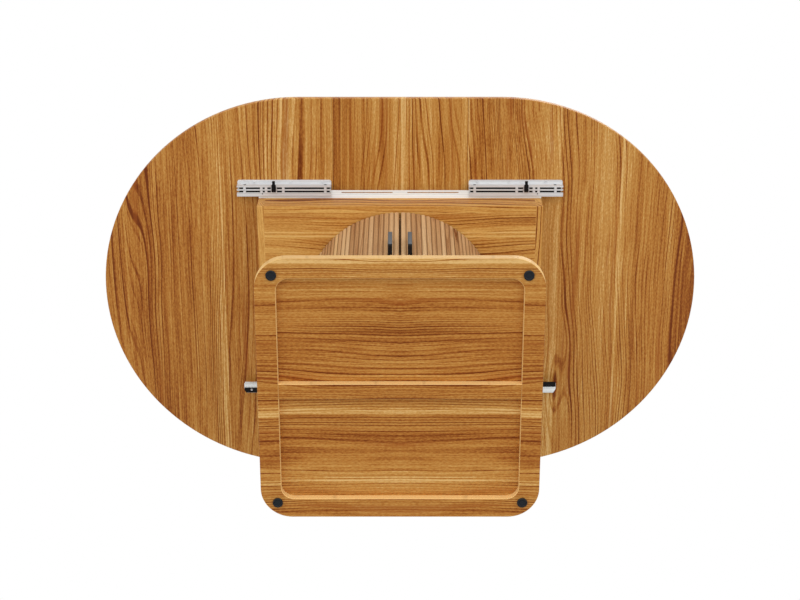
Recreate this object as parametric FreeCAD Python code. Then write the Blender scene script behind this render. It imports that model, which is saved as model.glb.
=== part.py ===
import FreeCAD, Part
import math
import os

# Butterfly leaf dining table on a round reeded pedestal cabinet.
# Millimetres. Origin on the floor under the centre, +X along the table, -Y to the doors, +Z up.

V = FreeCAD.Vector
UP = V(0, 0, 1)
ALONG = V(1, 0, 0)
BACK = V(0, 1, 0)

# ---- table top ----
TABLE_HEIGHT = 760.0
TOP_WIDTH = 1200.0
TOP_STRAIGHT = 600.0          # straight stretch between the half-round ends, leaf included
TOP_THICKNESS = 20.0
TOP_EDGE_RADIUS = 3.0
LEAF_WIDTH = 400.0
SEAM_GAP = 0.5                # between the leaf and each half, and between the leaf's panels
BARREL_RADIUS = 6.0           # concealed barrel hinges of the leaf
BARREL_DEPTH = 12.0
BARREL_SPACING = 140.0

# ---- leaf well, the box under the top ----
BOX_LENGTH = 842.0
BOX_WIDTH = 600.0
BOX_DEPTH = 98.0
BOX_BOARD = 20.0
BOX_FLOOR = 15.0
BOX_EDGE_RADIUS = 1.2
BOX_CLEARANCE = 0.3           # under the moving top
DOWEL_RADIUS = 4.0
DOWEL_LENGTH = 32.0
DOWEL_IN_SIDE = 12.0
DOWEL_HEIGHTS = (0.3, 0.7)    # shares of the box's depth
BOLT_INSET = 90.0             # bolt circle, inside the drum's face
BOLT_COUNT = 6
BOLT_RADIUS = 4.0
BOLT_HEAD_RADIUS = 8.0
BOLT_HEAD_HEIGHT = 4.0
NUT_RADIUS = 9.0
NUT_HEIGHT = 6.0

# ---- aluminium guide rails on the box, moving runners under the halves ----
RAIL_WIDTH = 24.0
RAIL_WALL = 3.0
RAIL_SCREW_COUNT = 5
RAIL_SCREW_HEAD = 3.3
RAIL_SCREW_MARGIN = 50.0      # from the rail's ends
RAIL_SLOT_START = 22.0        # from the middle of the rail
RAIL_SLOT_END = 174.0
RAIL_SLOT_WIDTH = 3.4
RAIL_SLOT_EDGE = 6.5          # from the rail's outer edge to the slot's middle
RAIL_GROOVE_EDGE = 13.2       # from the rail's outer edge to the groove's middle
RAIL_GROOVE_WIDTH = 2.6
RAIL_GROOVE_DEPTH = 1.2
RUNNER_LENGTH = 280.0
RUNNER_INSET = 5.0            # from the seam
RUNNER_HEIGHT = 29.0
RUNNER_WALL = 3.0
RUNNER_FLANGE = 11.0
RUNNER_REACH = 12.0           # room for the glides between the rail and the runner's wall
RUNNER_LIP_GAP = 7.0          # from the box's face to the runner's lower lip
RUNNER_PLATE_GAP = 15.0       # from the box's face to the runner's upper plate
RUNNER_CORNER = 6.0
SLOT_WIDTH = 5.6
SLOT_SPACING = 10.2
SLOT_EDGE = 3.3               # from the wall's inner face to the first slot's middle
BRIDGE_WIDTH = 7.5
BRIDGES = (17.0, 142.0, 193.0, 207.0, 257.0)   # along the runner from its inner end
REAR_SLOTS_END = 210.0        # the rear runners are plain beyond it
REAR_CUT = 7.0                # cut corner at their outer end, along the runner
REAR_CUT_ACROSS = 13.0        # and from the wall's face inwards
WALL_HOLES = (17.0, 257.0)
WALL_HOLE_RADIUS = 4.5
LIP_HOLE_ALONG = 204.0
LIP_HOLE_EDGE = 8.0           # from the runner's inner edge
FLANGE_SCREWS = (25.0, 120.0, 230.0)
GLIDE_LENGTH = 134.0
GLIDES = (4.0, 139.0)
GLIDE_COVER = 12.0            # how far a glide reaches over the rail's arm
GLIDE_LIP = 2.2               # over and under the rail's arm
RIVET_SHANK = 1.5
RIVET_HEAD = 2.5
RIVET_HEAD_HEIGHT = 0.7

# ---- latch levers on the runners ----
LATCH_ALONG = 170.0
LATCH_WIDTH = 13.0
LATCH_TAIL = 10.5
LATCH_BODY = 11.5
LATCH_HEAD = 23.0
LATCH_HEAD_WIDTH = 8.5
LATCH_THICKNESS = 5.5
LATCH_DROP = 1.0              # under the runner's lip
LATCH_PIN_RADIUS = 2.0
LATCH_BOSS = 18.0

# ---- end blocks under the rear runners ----
END_BLOCK_LENGTH = 56.0
END_BLOCK_WIDTH = 15.0        # of the left block
END_BLOCK_WIDTH_RIGHT = 15.0
END_BLOCK_THICKNESS = 5.5
END_BLOCK_INSET = 1.0         # from the runner's end
END_BLOCK_EDGE = 3.0          # from the runner's wall to the left block
END_BLOCK_BOX_GAP = 1.0       # from the box's face to the right block
END_BLOCK_SCREW = 22.0        # from the block's outer end
END_BLOCK_SCREW_OUT = 19.5    # left, from the runner's inner edge
END_BLOCK_SCREW_OUT_RIGHT = 4.5

# ---- pedestal cabinet ----
DRUM_RADIUS = 283.0
REED_DEPTH = 3.0
REED_PITCH = 3.0              # degrees
WALL_THICKNESS = 18.0
DISC_THICKNESS = 18.0
DISC_GAP = 0.3
PIVOT_ANGLE = 69.0            # of the door pins, from the front
DOOR_GAP = 4.5                # between the two doors
DOOR_CLEARANCE = 3.0          # over the base and under the box
JAMB_GAP = 2.0
PIN_RADIUS = 4.0
PIN_IN_DOOR = 25.0
PIN_END_GAP = 2.0             # from a pin's end to the bottom of its bush
BUSH_DEPTH = 10.0
BUSH_WALL = 2.0
SHELF_HEIGHT = 340.0
SHELF_THICKNESS = 15.0
SHELF_INSET = 6.0
SHELF_PIN_RADIUS = 2.5
SHELF_PIN_LENGTH = 20.0
SHELF_PIN_IN_WALL = 8.0
SHELF_PIN_ANGLES = (85.0, 150.0, 210.0, 275.0)
MAGNET_SIZE = 30.0
MAGNET_INSET = 4.0            # from the door's free edge
MAGNET_DEPTH = 15.0
MAGNET_HEIGHT = 14.0
STRIKE_THICKNESS = 1.5
STRIKE_GAP = 0.6
STRIKE_UNDER_TOP = 2.0

# ---- handles ----
HANDLE_HEIGHT = 342.0         # middle of the grip over the floor
HANDLE_OFFSET = 27.5
HANDLE_CENTRES = 96.0
HANDLE_BAR = 10.0
HANDLE_LEG = 8.0
HANDLE_WIDTH = 12.0
HANDLE_PROJECTION = 30.0
HANDLE_SEAT = 5.0             # depth of the flat seat cut through the reeds
HANDLE_CORNER = 4.0
HANDLE_SCREW_IN_LEG = 12.0
HANDLE_SCREW_SUNK = 1.0       # head under the door's inner face

# ---- base ----
BASE_SIZE = 760.0
BASE_CORNER = 85.0
BASE_LAYER = 20.0
BASE_BEVEL = 17.0
BASE_EDGE_RADIUS = 2.0
RIM_WIDTH = 56.5
RIM_INNER_CORNER = 35.0
RIB_WIDTH = 44.0
FOOT_RADIUS = 14.0
FOOT_HEIGHT = 6.0
FOOT_INSET = 46.0
FOOT_RECESS_RADIUS = 8.5
FOOT_RECESS_DEPTH = 1.5
FOOT_EDGE_RADIUS = 1.0
FOOT_SCREW_SEAT = 3.8
FOOT_SCREW_LENGTH = 16.0

# ---- screws ----
PRESS_GAP = 0.02              # round a shank or pin held in its own hole
RUNNING_GAP = 0.05            # round a pin that turns
SCREW_TIP_GAP = 0.3
SHANK_RADIUS = 2.0
SCREW_BITE = 0.7              # share of a board that a screw goes into
HEAD_RADIUS = 4.0
HEAD_HEIGHT = 2.2

# ---- places worked out from the sizes above ----
TOP_UNDERSIDE = TABLE_HEIGHT - TOP_THICKNESS
LEAF_HALF = LEAF_WIDTH / 2
BOX_TOP = TOP_UNDERSIDE - BOX_CLEARANCE
BOX_BOTTOM = BOX_TOP - BOX_DEPTH
BOX_HALF_X = BOX_LENGTH / 2
BOX_HALF_Y = BOX_WIDTH / 2
RIM_TOP = FOOT_HEIGHT + BASE_LAYER
BASE_TOP = RIM_TOP + BASE_LAYER
VALLEY_RADIUS = DRUM_RADIUS - REED_DEPTH
INNER_RADIUS = DRUM_RADIUS - WALL_THICKNESS
PIVOT_RADIUS = DRUM_RADIUS - WALL_THICKNESS / 2
DISC_RADIUS = INNER_RADIUS - DISC_GAP
BUSH_FLANGE_RADIUS = WALL_THICKNESS / 2 - DISC_GAP
DISC_UNDERSIDE = BOX_BOTTOM - DISC_THICKNESS
DOOR_BOTTOM = BASE_TOP + DOOR_CLEARANCE
DOOR_TOP = BOX_BOTTOM - DOOR_CLEARANCE
RUNNER_TOP = TOP_UNDERSIDE
RUNNER_BOTTOM = RUNNER_TOP - RUNNER_HEIGHT
RUNNER_START = LEAF_HALF + RUNNER_INSET
RUNNER_END = RUNNER_START + RUNNER_LENGTH
RAIL_MIDDLE = (RUNNER_TOP + RUNNER_BOTTOM) / 2
RAIL_BOTTOM = RUNNER_BOTTOM + RUNNER_WALL + GLIDE_LIP + BOX_CLEARANCE
RAIL_TOP = 2 * RAIL_MIDDLE - RAIL_BOTTOM
RAIL_ARM_TOP = RAIL_BOTTOM + RAIL_WALL
RAIL_FACE = BOX_HALF_Y + RAIL_WIDTH
RUNNER_INSIDE = RAIL_FACE + RUNNER_REACH
RUNNER_FACE = RUNNER_INSIDE + RUNNER_WALL
RUNNER_EDGE = RUNNER_FACE + RUNNER_FLANGE
LIP_EDGE = BOX_HALF_Y + RUNNER_LIP_GAP
PLATE_EDGE = BOX_HALF_Y + RUNNER_PLATE_GAP
SLOT_OUTER = RUNNER_INSIDE - SLOT_EDGE
SLOT_INNER = SLOT_OUTER - SLOT_SPACING
LIP_TOP = RUNNER_BOTTOM + RUNNER_WALL
LATCH_X = RUNNER_START + LATCH_ALONG
LATCH_TOP = RUNNER_BOTTOM - LATCH_DROP
LATCH_BOTTOM = LATCH_TOP - LATCH_THICKNESS


# ---- small makers ----
def block(x0, x1, y0, y1, z0, z1):
    """A box between two values on each axis, in any order."""
    low = V(min(x0, x1), min(y0, y1), min(z0, z1))
    return Part.makeBox(abs(x1 - x0), abs(y1 - y0), abs(z1 - z0), low)


def rod(radius, start, direction, length):
    return Part.makeCylinder(radius, length, start, direction)


def screw(start, direction, length, shank=SHANK_RADIUS, head=HEAD_RADIUS):
    """A round-headed screw: the head's underside is at start, the shank runs along direction."""
    seat = start - direction * HEAD_HEIGHT
    return rod(head, seat, direction, HEAD_HEIGHT).fuse(rod(shank, start, direction, length)).removeSplitter()


def screw_hole(start, direction, length, shank=SHANK_RADIUS):
    return rod(shank + PRESS_GAP, start, direction, length + SCREW_TIP_GAP)


def mirror_x(shape):
    return shape.mirror(V(0, 0, 0), ALONG)


def mirror_y(shape):
    return shape.mirror(V(0, 0, 0), BACK)


def as_made(shape):
    return shape


def both_sides(shapes):
    return shapes + [mirror_x(s) for s in shapes]


def front_and_rear(shapes):
    return shapes + [mirror_y(s) for s in shapes]


def cut_all(shape, tools):
    if not tools:
        return shape
    return shape.cut(Part.makeCompound(tools))


def rounded_plate(size, corner, z0, z1):
    """A square plate centred on the origin, with round corners in plan."""
    half = size / 2
    plate = block(-half, half, -half, half, z0, z1)
    corners = [e for e in plate.Edges if abs(e.tangentAt(e.FirstParameter).z) > 0.9]
    return plate.makeFillet(corner, corners)


def edges_at_height(shape, z):
    return [e for e in shape.Edges if abs(e.BoundBox.ZMin - z) < 0.01 and abs(e.BoundBox.ZMax - z) < 0.01]


def plan_point(radius, angle, z=0.0):
    """Point at an angle from the front, in degrees, positive to the right."""
    a = math.radians(angle)
    return V(radius * math.sin(a), -radius * math.cos(a), z)


def outward(angle):
    return plan_point(1.0, angle)


def sideways(angle):
    a = math.radians(angle)
    return V(math.cos(a), math.sin(a), 0)


def line(a, b):
    return Part.makeLine(a, b)


def arc(a, b, c):
    return Part.Arc(a, b, c).toShape()


def prism(edges, z0, z1):
    face = Part.Face(Part.Wire(edges))
    solid = face.extrude(UP * (z1 - z0))
    solid.translate(UP * z0)
    return solid


# ---- table top ----
def top_slab():
    """The whole stadium with its rounded edge, before the seams are cut."""
    half = TOP_STRAIGHT / 2
    r = TOP_WIDTH / 2
    outline = [
        line(V(-half, -r, 0), V(half, -r, 0)),
        arc(V(half, -r, 0), V(half + r, 0, 0), V(half, r, 0)),
        line(V(half, r, 0), V(-half, r, 0)),
        arc(V(-half, r, 0), V(-half - r, 0, 0), V(-half, -r, 0)),
    ]
    slab = prism(outline, TOP_UNDERSIDE, TABLE_HEIGHT)
    rims = edges_at_height(slab, TOP_UNDERSIDE) + edges_at_height(slab, TABLE_HEIGHT)
    return slab.makeFillet(min(TOP_EDGE_RADIUS, 0.45 * TOP_THICKNESS), rims)


def flange_screw_places(side):
    """Screw seats under the flanges of the runners of one half, side is -1 or 1."""
    y = RUNNER_FACE + RUNNER_FLANGE / 2
    z = RUNNER_TOP - RUNNER_WALL
    xs = [side * (RUNNER_START + along) for along in FLANGE_SCREWS]
    return [V(x, y * rear, z) for x in xs for rear in (-1, 1)]


def top_half(slab, side):
    reach = TOP_WIDTH + TOP_STRAIGHT
    seam = LEAF_HALF + SEAM_GAP / 2
    half = slab.common(block(side * seam, side * reach, -reach, reach, 0, 2 * TABLE_HEIGHT))
    holes = [screw_hole(p, UP, flange_screw_length()) for p in flange_screw_places(side)]
    return cut_all(half, holes)


def flange_screw_length():
    return RUNNER_WALL + SCREW_BITE * TOP_THICKNESS


def barrels(rear, extra):
    """Halves of the concealed barrel hinges, flush with a panel's folding edge, rear is -1 or 1."""
    made = []
    for x in (-BARREL_SPACING, 0, BARREL_SPACING):
        start = V(x, rear * SEAM_GAP / 2, TOP_UNDERSIDE + TOP_THICKNESS / 2)
        made.append(rod(BARREL_RADIUS + extra, start, BACK * rear, BARREL_DEPTH + extra))
    return made


def leaf_panel(slab, rear):
    half = LEAF_HALF - SEAM_GAP / 2
    panel = slab.common(block(-half, half, rear * SEAM_GAP / 2, rear * TOP_WIDTH, 0, 2 * TABLE_HEIGHT))
    return cut_all(panel, barrels(rear, PRESS_GAP))


# ---- leaf well ----
def dowel_rods(extra):
    """Dowels between the side boards and the front and rear boards."""
    made = []
    x = BOX_HALF_X - BOX_BOARD + DOWEL_IN_SIDE + extra
    for share in DOWEL_HEIGHTS:
        start = V(x, -BOX_HALF_Y + BOX_BOARD / 2, BOX_BOTTOM + share * BOX_DEPTH)
        made.append(rod(DOWEL_RADIUS + extra, start, -ALONG, DOWEL_LENGTH + 2 * extra))
    return front_and_rear(both_sides(made))


def rail_screw_places():
    spread = BOX_LENGTH - 2 * RAIL_SCREW_MARGIN
    step = spread / (RAIL_SCREW_COUNT - 1)
    return [V(-spread / 2 + i * step, -BOX_HALF_Y - RAIL_WALL, RAIL_MIDDLE) for i in range(RAIL_SCREW_COUNT)]


def rail_screw_length():
    return RAIL_WALL + SCREW_BITE * BOX_BOARD


def box_outside():
    """The well's outer shape, with its upright and lower edges softened."""
    shape = block(-BOX_HALF_X, BOX_HALF_X, -BOX_HALF_Y, BOX_HALF_Y, BOX_BOTTOM, BOX_TOP)
    upright = [e for e in shape.Edges if e.BoundBox.ZLength > 0.9 * BOX_DEPTH]
    return shape.makeFillet(BOX_EDGE_RADIUS, upright + edges_at_height(shape, BOX_BOTTOM))


def box_side_right(outside):
    board = block(BOX_HALF_X - BOX_BOARD, BOX_HALF_X, -BOX_HALF_Y, BOX_HALF_Y, BOX_BOTTOM, BOX_TOP)
    return cut_all(board.common(outside), dowel_rods(PRESS_GAP))


def box_front(outside):
    inside = BOX_HALF_X - BOX_BOARD
    board = block(-inside, inside, -BOX_HALF_Y, -BOX_HALF_Y + BOX_BOARD, BOX_BOTTOM, BOX_TOP)
    holes = [screw_hole(p, BACK, rail_screw_length()) for p in rail_screw_places()]
    return cut_all(board.common(outside), dowel_rods(PRESS_GAP) + holes)


def bolt_places(z):
    radius = DRUM_RADIUS - BOLT_INSET
    return [plan_point(radius, 30 + i * 360 / BOLT_COUNT, z) for i in range(BOLT_COUNT)]


def box_bolts():
    """Bolts from the well's floor through the drum's top."""
    made = []
    for p in bolt_places(BOX_BOTTOM + BOX_FLOOR - BOLT_HEAD_HEIGHT):
        shank = rod(BOLT_RADIUS, p, -UP, BOX_FLOOR - BOLT_HEAD_HEIGHT + DISC_THICKNESS + NUT_HEIGHT)
        made.append(rod(BOLT_HEAD_RADIUS, p, UP, BOLT_HEAD_HEIGHT).fuse(shank).removeSplitter())
    return made


def bolt_nuts():
    made = []
    for p in bolt_places(DISC_UNDERSIDE):
        nut = rod(NUT_RADIUS, p, -UP, NUT_HEIGHT)
        made.append(nut.cut(rod(BOLT_RADIUS + PRESS_GAP, p, -UP, NUT_HEIGHT)))
    return made


def bolt_holes():
    made = []
    for p in bolt_places(BOX_BOTTOM + BOX_FLOOR):
        made.append(rod(BOLT_HEAD_RADIUS + PRESS_GAP, p, -UP, BOLT_HEAD_HEIGHT))
        made.append(rod(BOLT_RADIUS + PRESS_GAP, p, -UP, BOX_FLOOR + DISC_THICKNESS))
    return made


def box_bottom():
    x = BOX_HALF_X - BOX_BOARD
    y = BOX_HALF_Y - BOX_BOARD
    panel = block(-x, x, -y, y, BOX_BOTTOM, BOX_BOTTOM + BOX_FLOOR)
    return cut_all(panel, bolt_holes() + bush_seats(BOX_BOTTOM, UP))


# ---- rails ----
def rail_channels(edge, width, depth):
    """Two stretches cut into the rail's underside at a distance from its outer edge."""
    y = -RAIL_FACE + edge
    return both_sides([block(RAIL_SLOT_START, RAIL_SLOT_END, y - width / 2, y + width / 2,
                             RAIL_BOTTOM, RAIL_BOTTOM + depth)])


def rail_front():
    """An angle bar with its arm pointing away from the box, slotted and grooved along the arm."""
    web = block(-BOX_HALF_X, BOX_HALF_X, -BOX_HALF_Y - RAIL_WALL, -BOX_HALF_Y, RAIL_BOTTOM, RAIL_TOP)
    arm = block(-BOX_HALF_X, BOX_HALF_X, -RAIL_FACE, -BOX_HALF_Y, RAIL_BOTTOM, RAIL_ARM_TOP)
    bar = web.fuse(arm).removeSplitter()
    tools = [rod(SHANK_RADIUS + PRESS_GAP, p, BACK, RAIL_WALL) for p in rail_screw_places()]
    tools += rail_channels(RAIL_SLOT_EDGE, RAIL_SLOT_WIDTH, RAIL_WALL)
    tools += rail_channels(RAIL_GROOVE_EDGE, RAIL_GROOVE_WIDTH, RAIL_GROOVE_DEPTH)
    return cut_all(bar, tools)


def rail_screws():
    length = rail_screw_length()
    return front_and_rear([screw(p, BACK, length, head=RAIL_SCREW_HEAD) for p in rail_screw_places()])


# ---- runners ----
def slot_runs():
    """Stretches of open slot between the bridges, along the runner."""
    solid = [(b - BRIDGE_WIDTH / 2, b + BRIDGE_WIDTH / 2) for b in BRIDGES]
    solid.append((LATCH_ALONG - LATCH_BOSS / 2, LATCH_ALONG + LATCH_BOSS / 2))
    solid.sort()
    runs = []
    start = 0.0
    for low, high in solid:
        runs.append((start, low))
        start = high
    runs.append((start, RUNNER_LENGTH))
    return runs


def rivet_places(rear):
    y = -(SLOT_OUTER + SLOT_INNER) / 2
    return [V(RUNNER_START + b, y, RUNNER_BOTTOM) for b in BRIDGES if not rear or b < REAR_SLOTS_END]


def rear_corner():
    """What the slanted outer end of a rear runner leaves off, drawn in front."""
    depth = RUNNER_FLANGE + REAR_CUT_ACROSS
    x0 = RUNNER_END - REAR_CUT * depth / REAR_CUT_ACROSS
    low = RUNNER_BOTTOM - END_BLOCK_THICKNESS
    corners = [V(x0, -RUNNER_EDGE, low), V(RUNNER_END, -RUNNER_EDGE, low),
               V(RUNNER_END, -RUNNER_FACE + REAR_CUT_ACROSS, low)]
    return Part.Face(Part.makePolygon(corners + corners[:1])).extrude(UP * (RUNNER_TOP - low))


def runner_right(rear):
    """A C-shaped bar round the rail, with a flange outside that is screwed to the half.

    A rear one, drawn in front too, has no slots near its outer end, whose corner is cut off.
    """
    points = [
        (-RUNNER_EDGE, RUNNER_TOP),
        (-PLATE_EDGE, RUNNER_TOP),
        (-PLATE_EDGE, RUNNER_TOP - RUNNER_WALL),
        (-RUNNER_INSIDE, RUNNER_TOP - RUNNER_WALL),
        (-RUNNER_INSIDE, LIP_TOP),
        (-LIP_EDGE, LIP_TOP),
        (-LIP_EDGE, RUNNER_BOTTOM),
        (-RUNNER_FACE, RUNNER_BOTTOM),
        (-RUNNER_FACE, RUNNER_TOP - RUNNER_WALL),
        (-RUNNER_EDGE, RUNNER_TOP - RUNNER_WALL),
    ]
    corners = [V(RUNNER_START, y, z) for y, z in points]
    bar = Part.Face(Part.makePolygon(corners + corners[:1])).extrude(ALONG * RUNNER_LENGTH)
    ends = [e for e in bar.Edges
            if abs(e.BoundBox.YMin + RUNNER_EDGE) < 0.01 and abs(e.BoundBox.YMax + RUNNER_EDGE) < 0.01
            and e.BoundBox.ZLength > 0.5 * RUNNER_WALL and e.BoundBox.XLength < 0.01]
    bar = bar.makeFillet(RUNNER_CORNER, ends)
    tools = []
    for y in (-SLOT_OUTER, -SLOT_INNER):
        for low, high in slot_runs():
            if not rear or low < REAR_SLOTS_END:
                tools.append(block(RUNNER_START + low, RUNNER_START + high,
                                   y - SLOT_WIDTH / 2, y + SLOT_WIDTH / 2, RUNNER_BOTTOM, LIP_TOP))
    for along in WALL_HOLES:
        spot = V(RUNNER_START + along, -RUNNER_FACE, RAIL_MIDDLE)
        tools.append(rod(WALL_HOLE_RADIUS, spot, BACK, RUNNER_WALL))
    lip_spot = V(RUNNER_START + LIP_HOLE_ALONG, -LIP_EDGE - LIP_HOLE_EDGE, RUNNER_BOTTOM)
    tools.append(rod(SHANK_RADIUS, lip_spot, UP, RUNNER_WALL))
    for p in flange_screw_places(1):
        if p.y < 0:
            tools.append(rod(SHANK_RADIUS + PRESS_GAP, p, UP, RUNNER_WALL))
    for p in rivet_places(rear):
        tools.append(rod(RIVET_SHANK + PRESS_GAP, p, UP, RUNNER_WALL))
    tools.append(rod(LATCH_PIN_RADIUS + PRESS_GAP, latch_pivot(RUNNER_BOTTOM), UP, RUNNER_WALL))
    if rear:
        tools.append(rear_corner())
    return cut_all(bar, tools)


def runner_rivets():
    made = []
    for placed, rear in ((as_made, False), (mirror_y, True)):
        for p in rivet_places(rear):
            head = rod(RIVET_HEAD, p, -UP, RIVET_HEAD_HEIGHT)
            made.append(placed(head.fuse(rod(RIVET_SHANK, p, UP, RUNNER_WALL)).removeSplitter()))
    return made


def runner_glides():
    """Long plastic glides inside the runner, hugging the rail's arm."""
    made = []
    inner = -RAIL_FACE + GLIDE_COVER
    room_face = -RAIL_FACE - BOX_CLEARANCE
    room_low = RAIL_BOTTOM - BOX_CLEARANCE
    room_high = RAIL_ARM_TOP + BOX_CLEARANCE
    for along in GLIDES:
        x0 = RUNNER_START + along
        x1 = x0 + GLIDE_LENGTH
        outer = block(x0, x1, -RUNNER_INSIDE, inner, LIP_TOP, room_high + GLIDE_LIP)
        made.append(outer.cut(block(x0, x1, room_face, inner, room_low, room_high)))
    return front_and_rear(made)


# ---- latches ----
def latch_pivot(z):
    return V(LATCH_X, -SLOT_OUTER, z)


def latch_front_right():
    """A flat lever on a vertical pin under the runner, with a narrow finger tab in front."""
    p = latch_pivot(LATCH_BOTTOM)
    wide = LATCH_WIDTH / 2
    narrow = LATCH_HEAD_WIDTH / 2
    body = block(p.x - wide, p.x + wide, p.y - LATCH_BODY, p.y + LATCH_TAIL, LATCH_BOTTOM, LATCH_TOP)
    corners = [e for e in body.Edges if e.BoundBox.ZLength > 0.9 * LATCH_THICKNESS]
    body = body.makeFillet(0.35 * wide, corners)
    tab = block(p.x - narrow, p.x + narrow, p.y - LATCH_HEAD, p.y, LATCH_BOTTOM, LATCH_TOP)
    lever = body.fuse(tab).removeSplitter()
    return lever.cut(rod(LATCH_PIN_RADIUS + RUNNING_GAP, p, UP, LATCH_THICKNESS))


def latch_pin():
    """Riveted into the runner's lip, its head holds the lever."""
    p = latch_pivot(LATCH_BOTTOM - BOX_CLEARANCE)
    head = rod(1.75 * LATCH_PIN_RADIUS, p, -UP, RUNNER_WALL / 2)
    return head.fuse(rod(LATCH_PIN_RADIUS, p, UP, LIP_TOP - p.z)).removeSplitter()


# ---- end blocks ----
def end_block(side):
    """Plastic block under a rear runner's outer end. The two sides sit on different edges of it."""
    x1 = side * (RUNNER_END - END_BLOCK_INSET)
    x0 = x1 - side * END_BLOCK_LENGTH
    if side < 0:
        y1 = RUNNER_FACE - END_BLOCK_EDGE
        y0 = y1 - END_BLOCK_WIDTH
        screw_y = LIP_EDGE + END_BLOCK_SCREW_OUT
    else:
        y0 = BOX_HALF_Y + END_BLOCK_BOX_GAP
        y1 = y0 + END_BLOCK_WIDTH_RIGHT
        screw_y = LIP_EDGE + END_BLOCK_SCREW_OUT_RIGHT
    z0 = RUNNER_BOTTOM - END_BLOCK_THICKNESS
    piece = block(x0, x1, y0, y1, z0, RUNNER_BOTTOM)
    place = V(x1 - side * END_BLOCK_SCREW, screw_y, z0 + HEAD_HEIGHT)
    tools = [rod(HEAD_RADIUS + PRESS_GAP, place, -UP, HEAD_HEIGHT)]
    tools.append(screw_hole(place, UP, END_BLOCK_THICKNESS))
    if side < 0:
        tools.append(mirror_x(mirror_y(rear_corner())))
    for p in rivet_places(True):
        spot = V(side * p.x, -p.y, p.z)
        tools.append(rod(RIVET_HEAD + PRESS_GAP, spot, -UP, RIVET_HEAD_HEIGHT + PRESS_GAP))
    return cut_all(piece, tools), place


# ---- pedestal cabinet ----
def reeds(start, count, pitch):
    """Convex reeds round the drum's face, each an arc from valley to valley."""
    made = []
    for i in range(count):
        a = start + i * pitch
        made.append(arc(plan_point(VALLEY_RADIUS, a), plan_point(DRUM_RADIUS, a + pitch / 2),
                        plan_point(VALLEY_RADIUS, a + pitch)))
    return made


def pivot_point(z):
    return plan_point(PIVOT_RADIUS, PIVOT_ANGLE, z)


def pivot_pin_spots():
    """Where a door's two pins leave it: the place and the way out."""
    return [(pivot_point(DOOR_BOTTOM), -UP), (pivot_point(DOOR_TOP), UP)]


def handle_legs():
    """Middle heights of a pull's two legs."""
    return (HANDLE_HEIGHT - HANDLE_CENTRES / 2, HANDLE_HEIGHT + HANDLE_CENTRES / 2)


def handle_back():
    """Y of the flat seat that a pull stands on."""
    return -DRUM_RADIUS + HANDLE_SEAT


def handle_screw_seat(z):
    inner = math.sqrt(INNER_RADIUS ** 2 - HANDLE_OFFSET ** 2)
    return V(HANDLE_OFFSET, -inner - HEAD_HEIGHT - HANDLE_SCREW_SUNK, z)


def handle_screw_length():
    return handle_screw_seat(0).y - handle_back() + HANDLE_SCREW_IN_LEG


def door_right():
    """A curved reeded door with a round edge about its pins."""
    start = math.degrees(DOOR_GAP / 2 / VALLEY_RADIUS)
    span = PIVOT_ANGLE - start
    count = round(span / REED_PITCH - 0.5)
    pitch = span / (count + 0.5)
    last = PIVOT_ANGLE - pitch / 2
    whole = Part.Arc(plan_point(VALLEY_RADIUS, last), plan_point(DRUM_RADIUS, PIVOT_ANGLE),
                     plan_point(VALLEY_RADIUS, PIVOT_ANGLE + pitch / 2))
    quarter = whole.value(whole.FirstParameter + (whole.LastParameter - whole.FirstParameter) / 4)
    tip = plan_point(DRUM_RADIUS, PIVOT_ANGLE)
    inner = plan_point(INNER_RADIUS, PIVOT_ANGLE)
    edge = pivot_point(0) + sideways(PIVOT_ANGLE) * (WALL_THICKNESS / 2)
    outline = reeds(start, count, pitch)
    outline.append(arc(plan_point(VALLEY_RADIUS, last), quarter, tip))
    outline.append(arc(tip, edge, inner))
    middle = (PIVOT_ANGLE + start) / 2
    outline.append(arc(inner, plan_point(INNER_RADIUS, middle), plan_point(INNER_RADIUS, start)))
    outline.append(line(plan_point(INNER_RADIUS, start), plan_point(VALLEY_RADIUS, start)))
    door = prism(outline, DOOR_BOTTOM, DOOR_TOP)
    tools = []
    for place, way in pivot_pin_spots():
        tools.append(rod(PIN_RADIUS + PRESS_GAP, place, way * -1, PIN_IN_DOOR + PRESS_GAP))
    for z in handle_legs():
        wide = HANDLE_WIDTH / 2 + BOX_CLEARANCE
        tall = HANDLE_LEG / 2 + BOX_CLEARANCE
        tools.append(block(HANDLE_OFFSET - wide, HANDLE_OFFSET + wide,
                           handle_back(), -DRUM_RADIUS - REED_DEPTH, z - tall, z + tall))
        seat = handle_screw_seat(z)
        tools.append(rod(SHANK_RADIUS + RUNNING_GAP, seat, -BACK, WALL_THICKNESS))
        tools.append(rod(HEAD_RADIUS + BOX_CLEARANCE, seat, BACK, WALL_THICKNESS))
    return cut_all(door, tools)


def door_pins_right():
    made = []
    for place, way in pivot_pin_spots():
        start = place - way * PIN_IN_DOOR
        made.append(rod(PIN_RADIUS, start, way, PIN_IN_DOOR + DOOR_CLEARANCE + BUSH_DEPTH - PIN_END_GAP))
    return made


def bush_flange_height():
    return DOOR_CLEARANCE - BOX_CLEARANCE


def bush_seats(z, into):
    """Bores for the pins' bushes in a board's face at z."""
    radius = PIN_RADIUS + RUNNING_GAP + BUSH_WALL + PRESS_GAP
    return both_sides([rod(radius, pivot_point(z), into, BUSH_DEPTH)])


def bush(z, into):
    """A flanged bush for one door pin."""
    sleeve = rod(PIN_RADIUS + RUNNING_GAP + BUSH_WALL, pivot_point(z), into, BUSH_DEPTH)
    flange = rod(BUSH_FLANGE_RADIUS, pivot_point(z), into * -1, bush_flange_height())
    bore = rod(PIN_RADIUS + RUNNING_GAP, pivot_point(z) - into * DOOR_CLEARANCE, into,
               DOOR_CLEARANCE + BUSH_DEPTH)
    return sleeve.fuse(flange).removeSplitter().cut(bore)


def pivot_bushes():
    return both_sides([bush(BASE_TOP, -UP), bush(BOX_BOTTOM, UP)])


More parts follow.
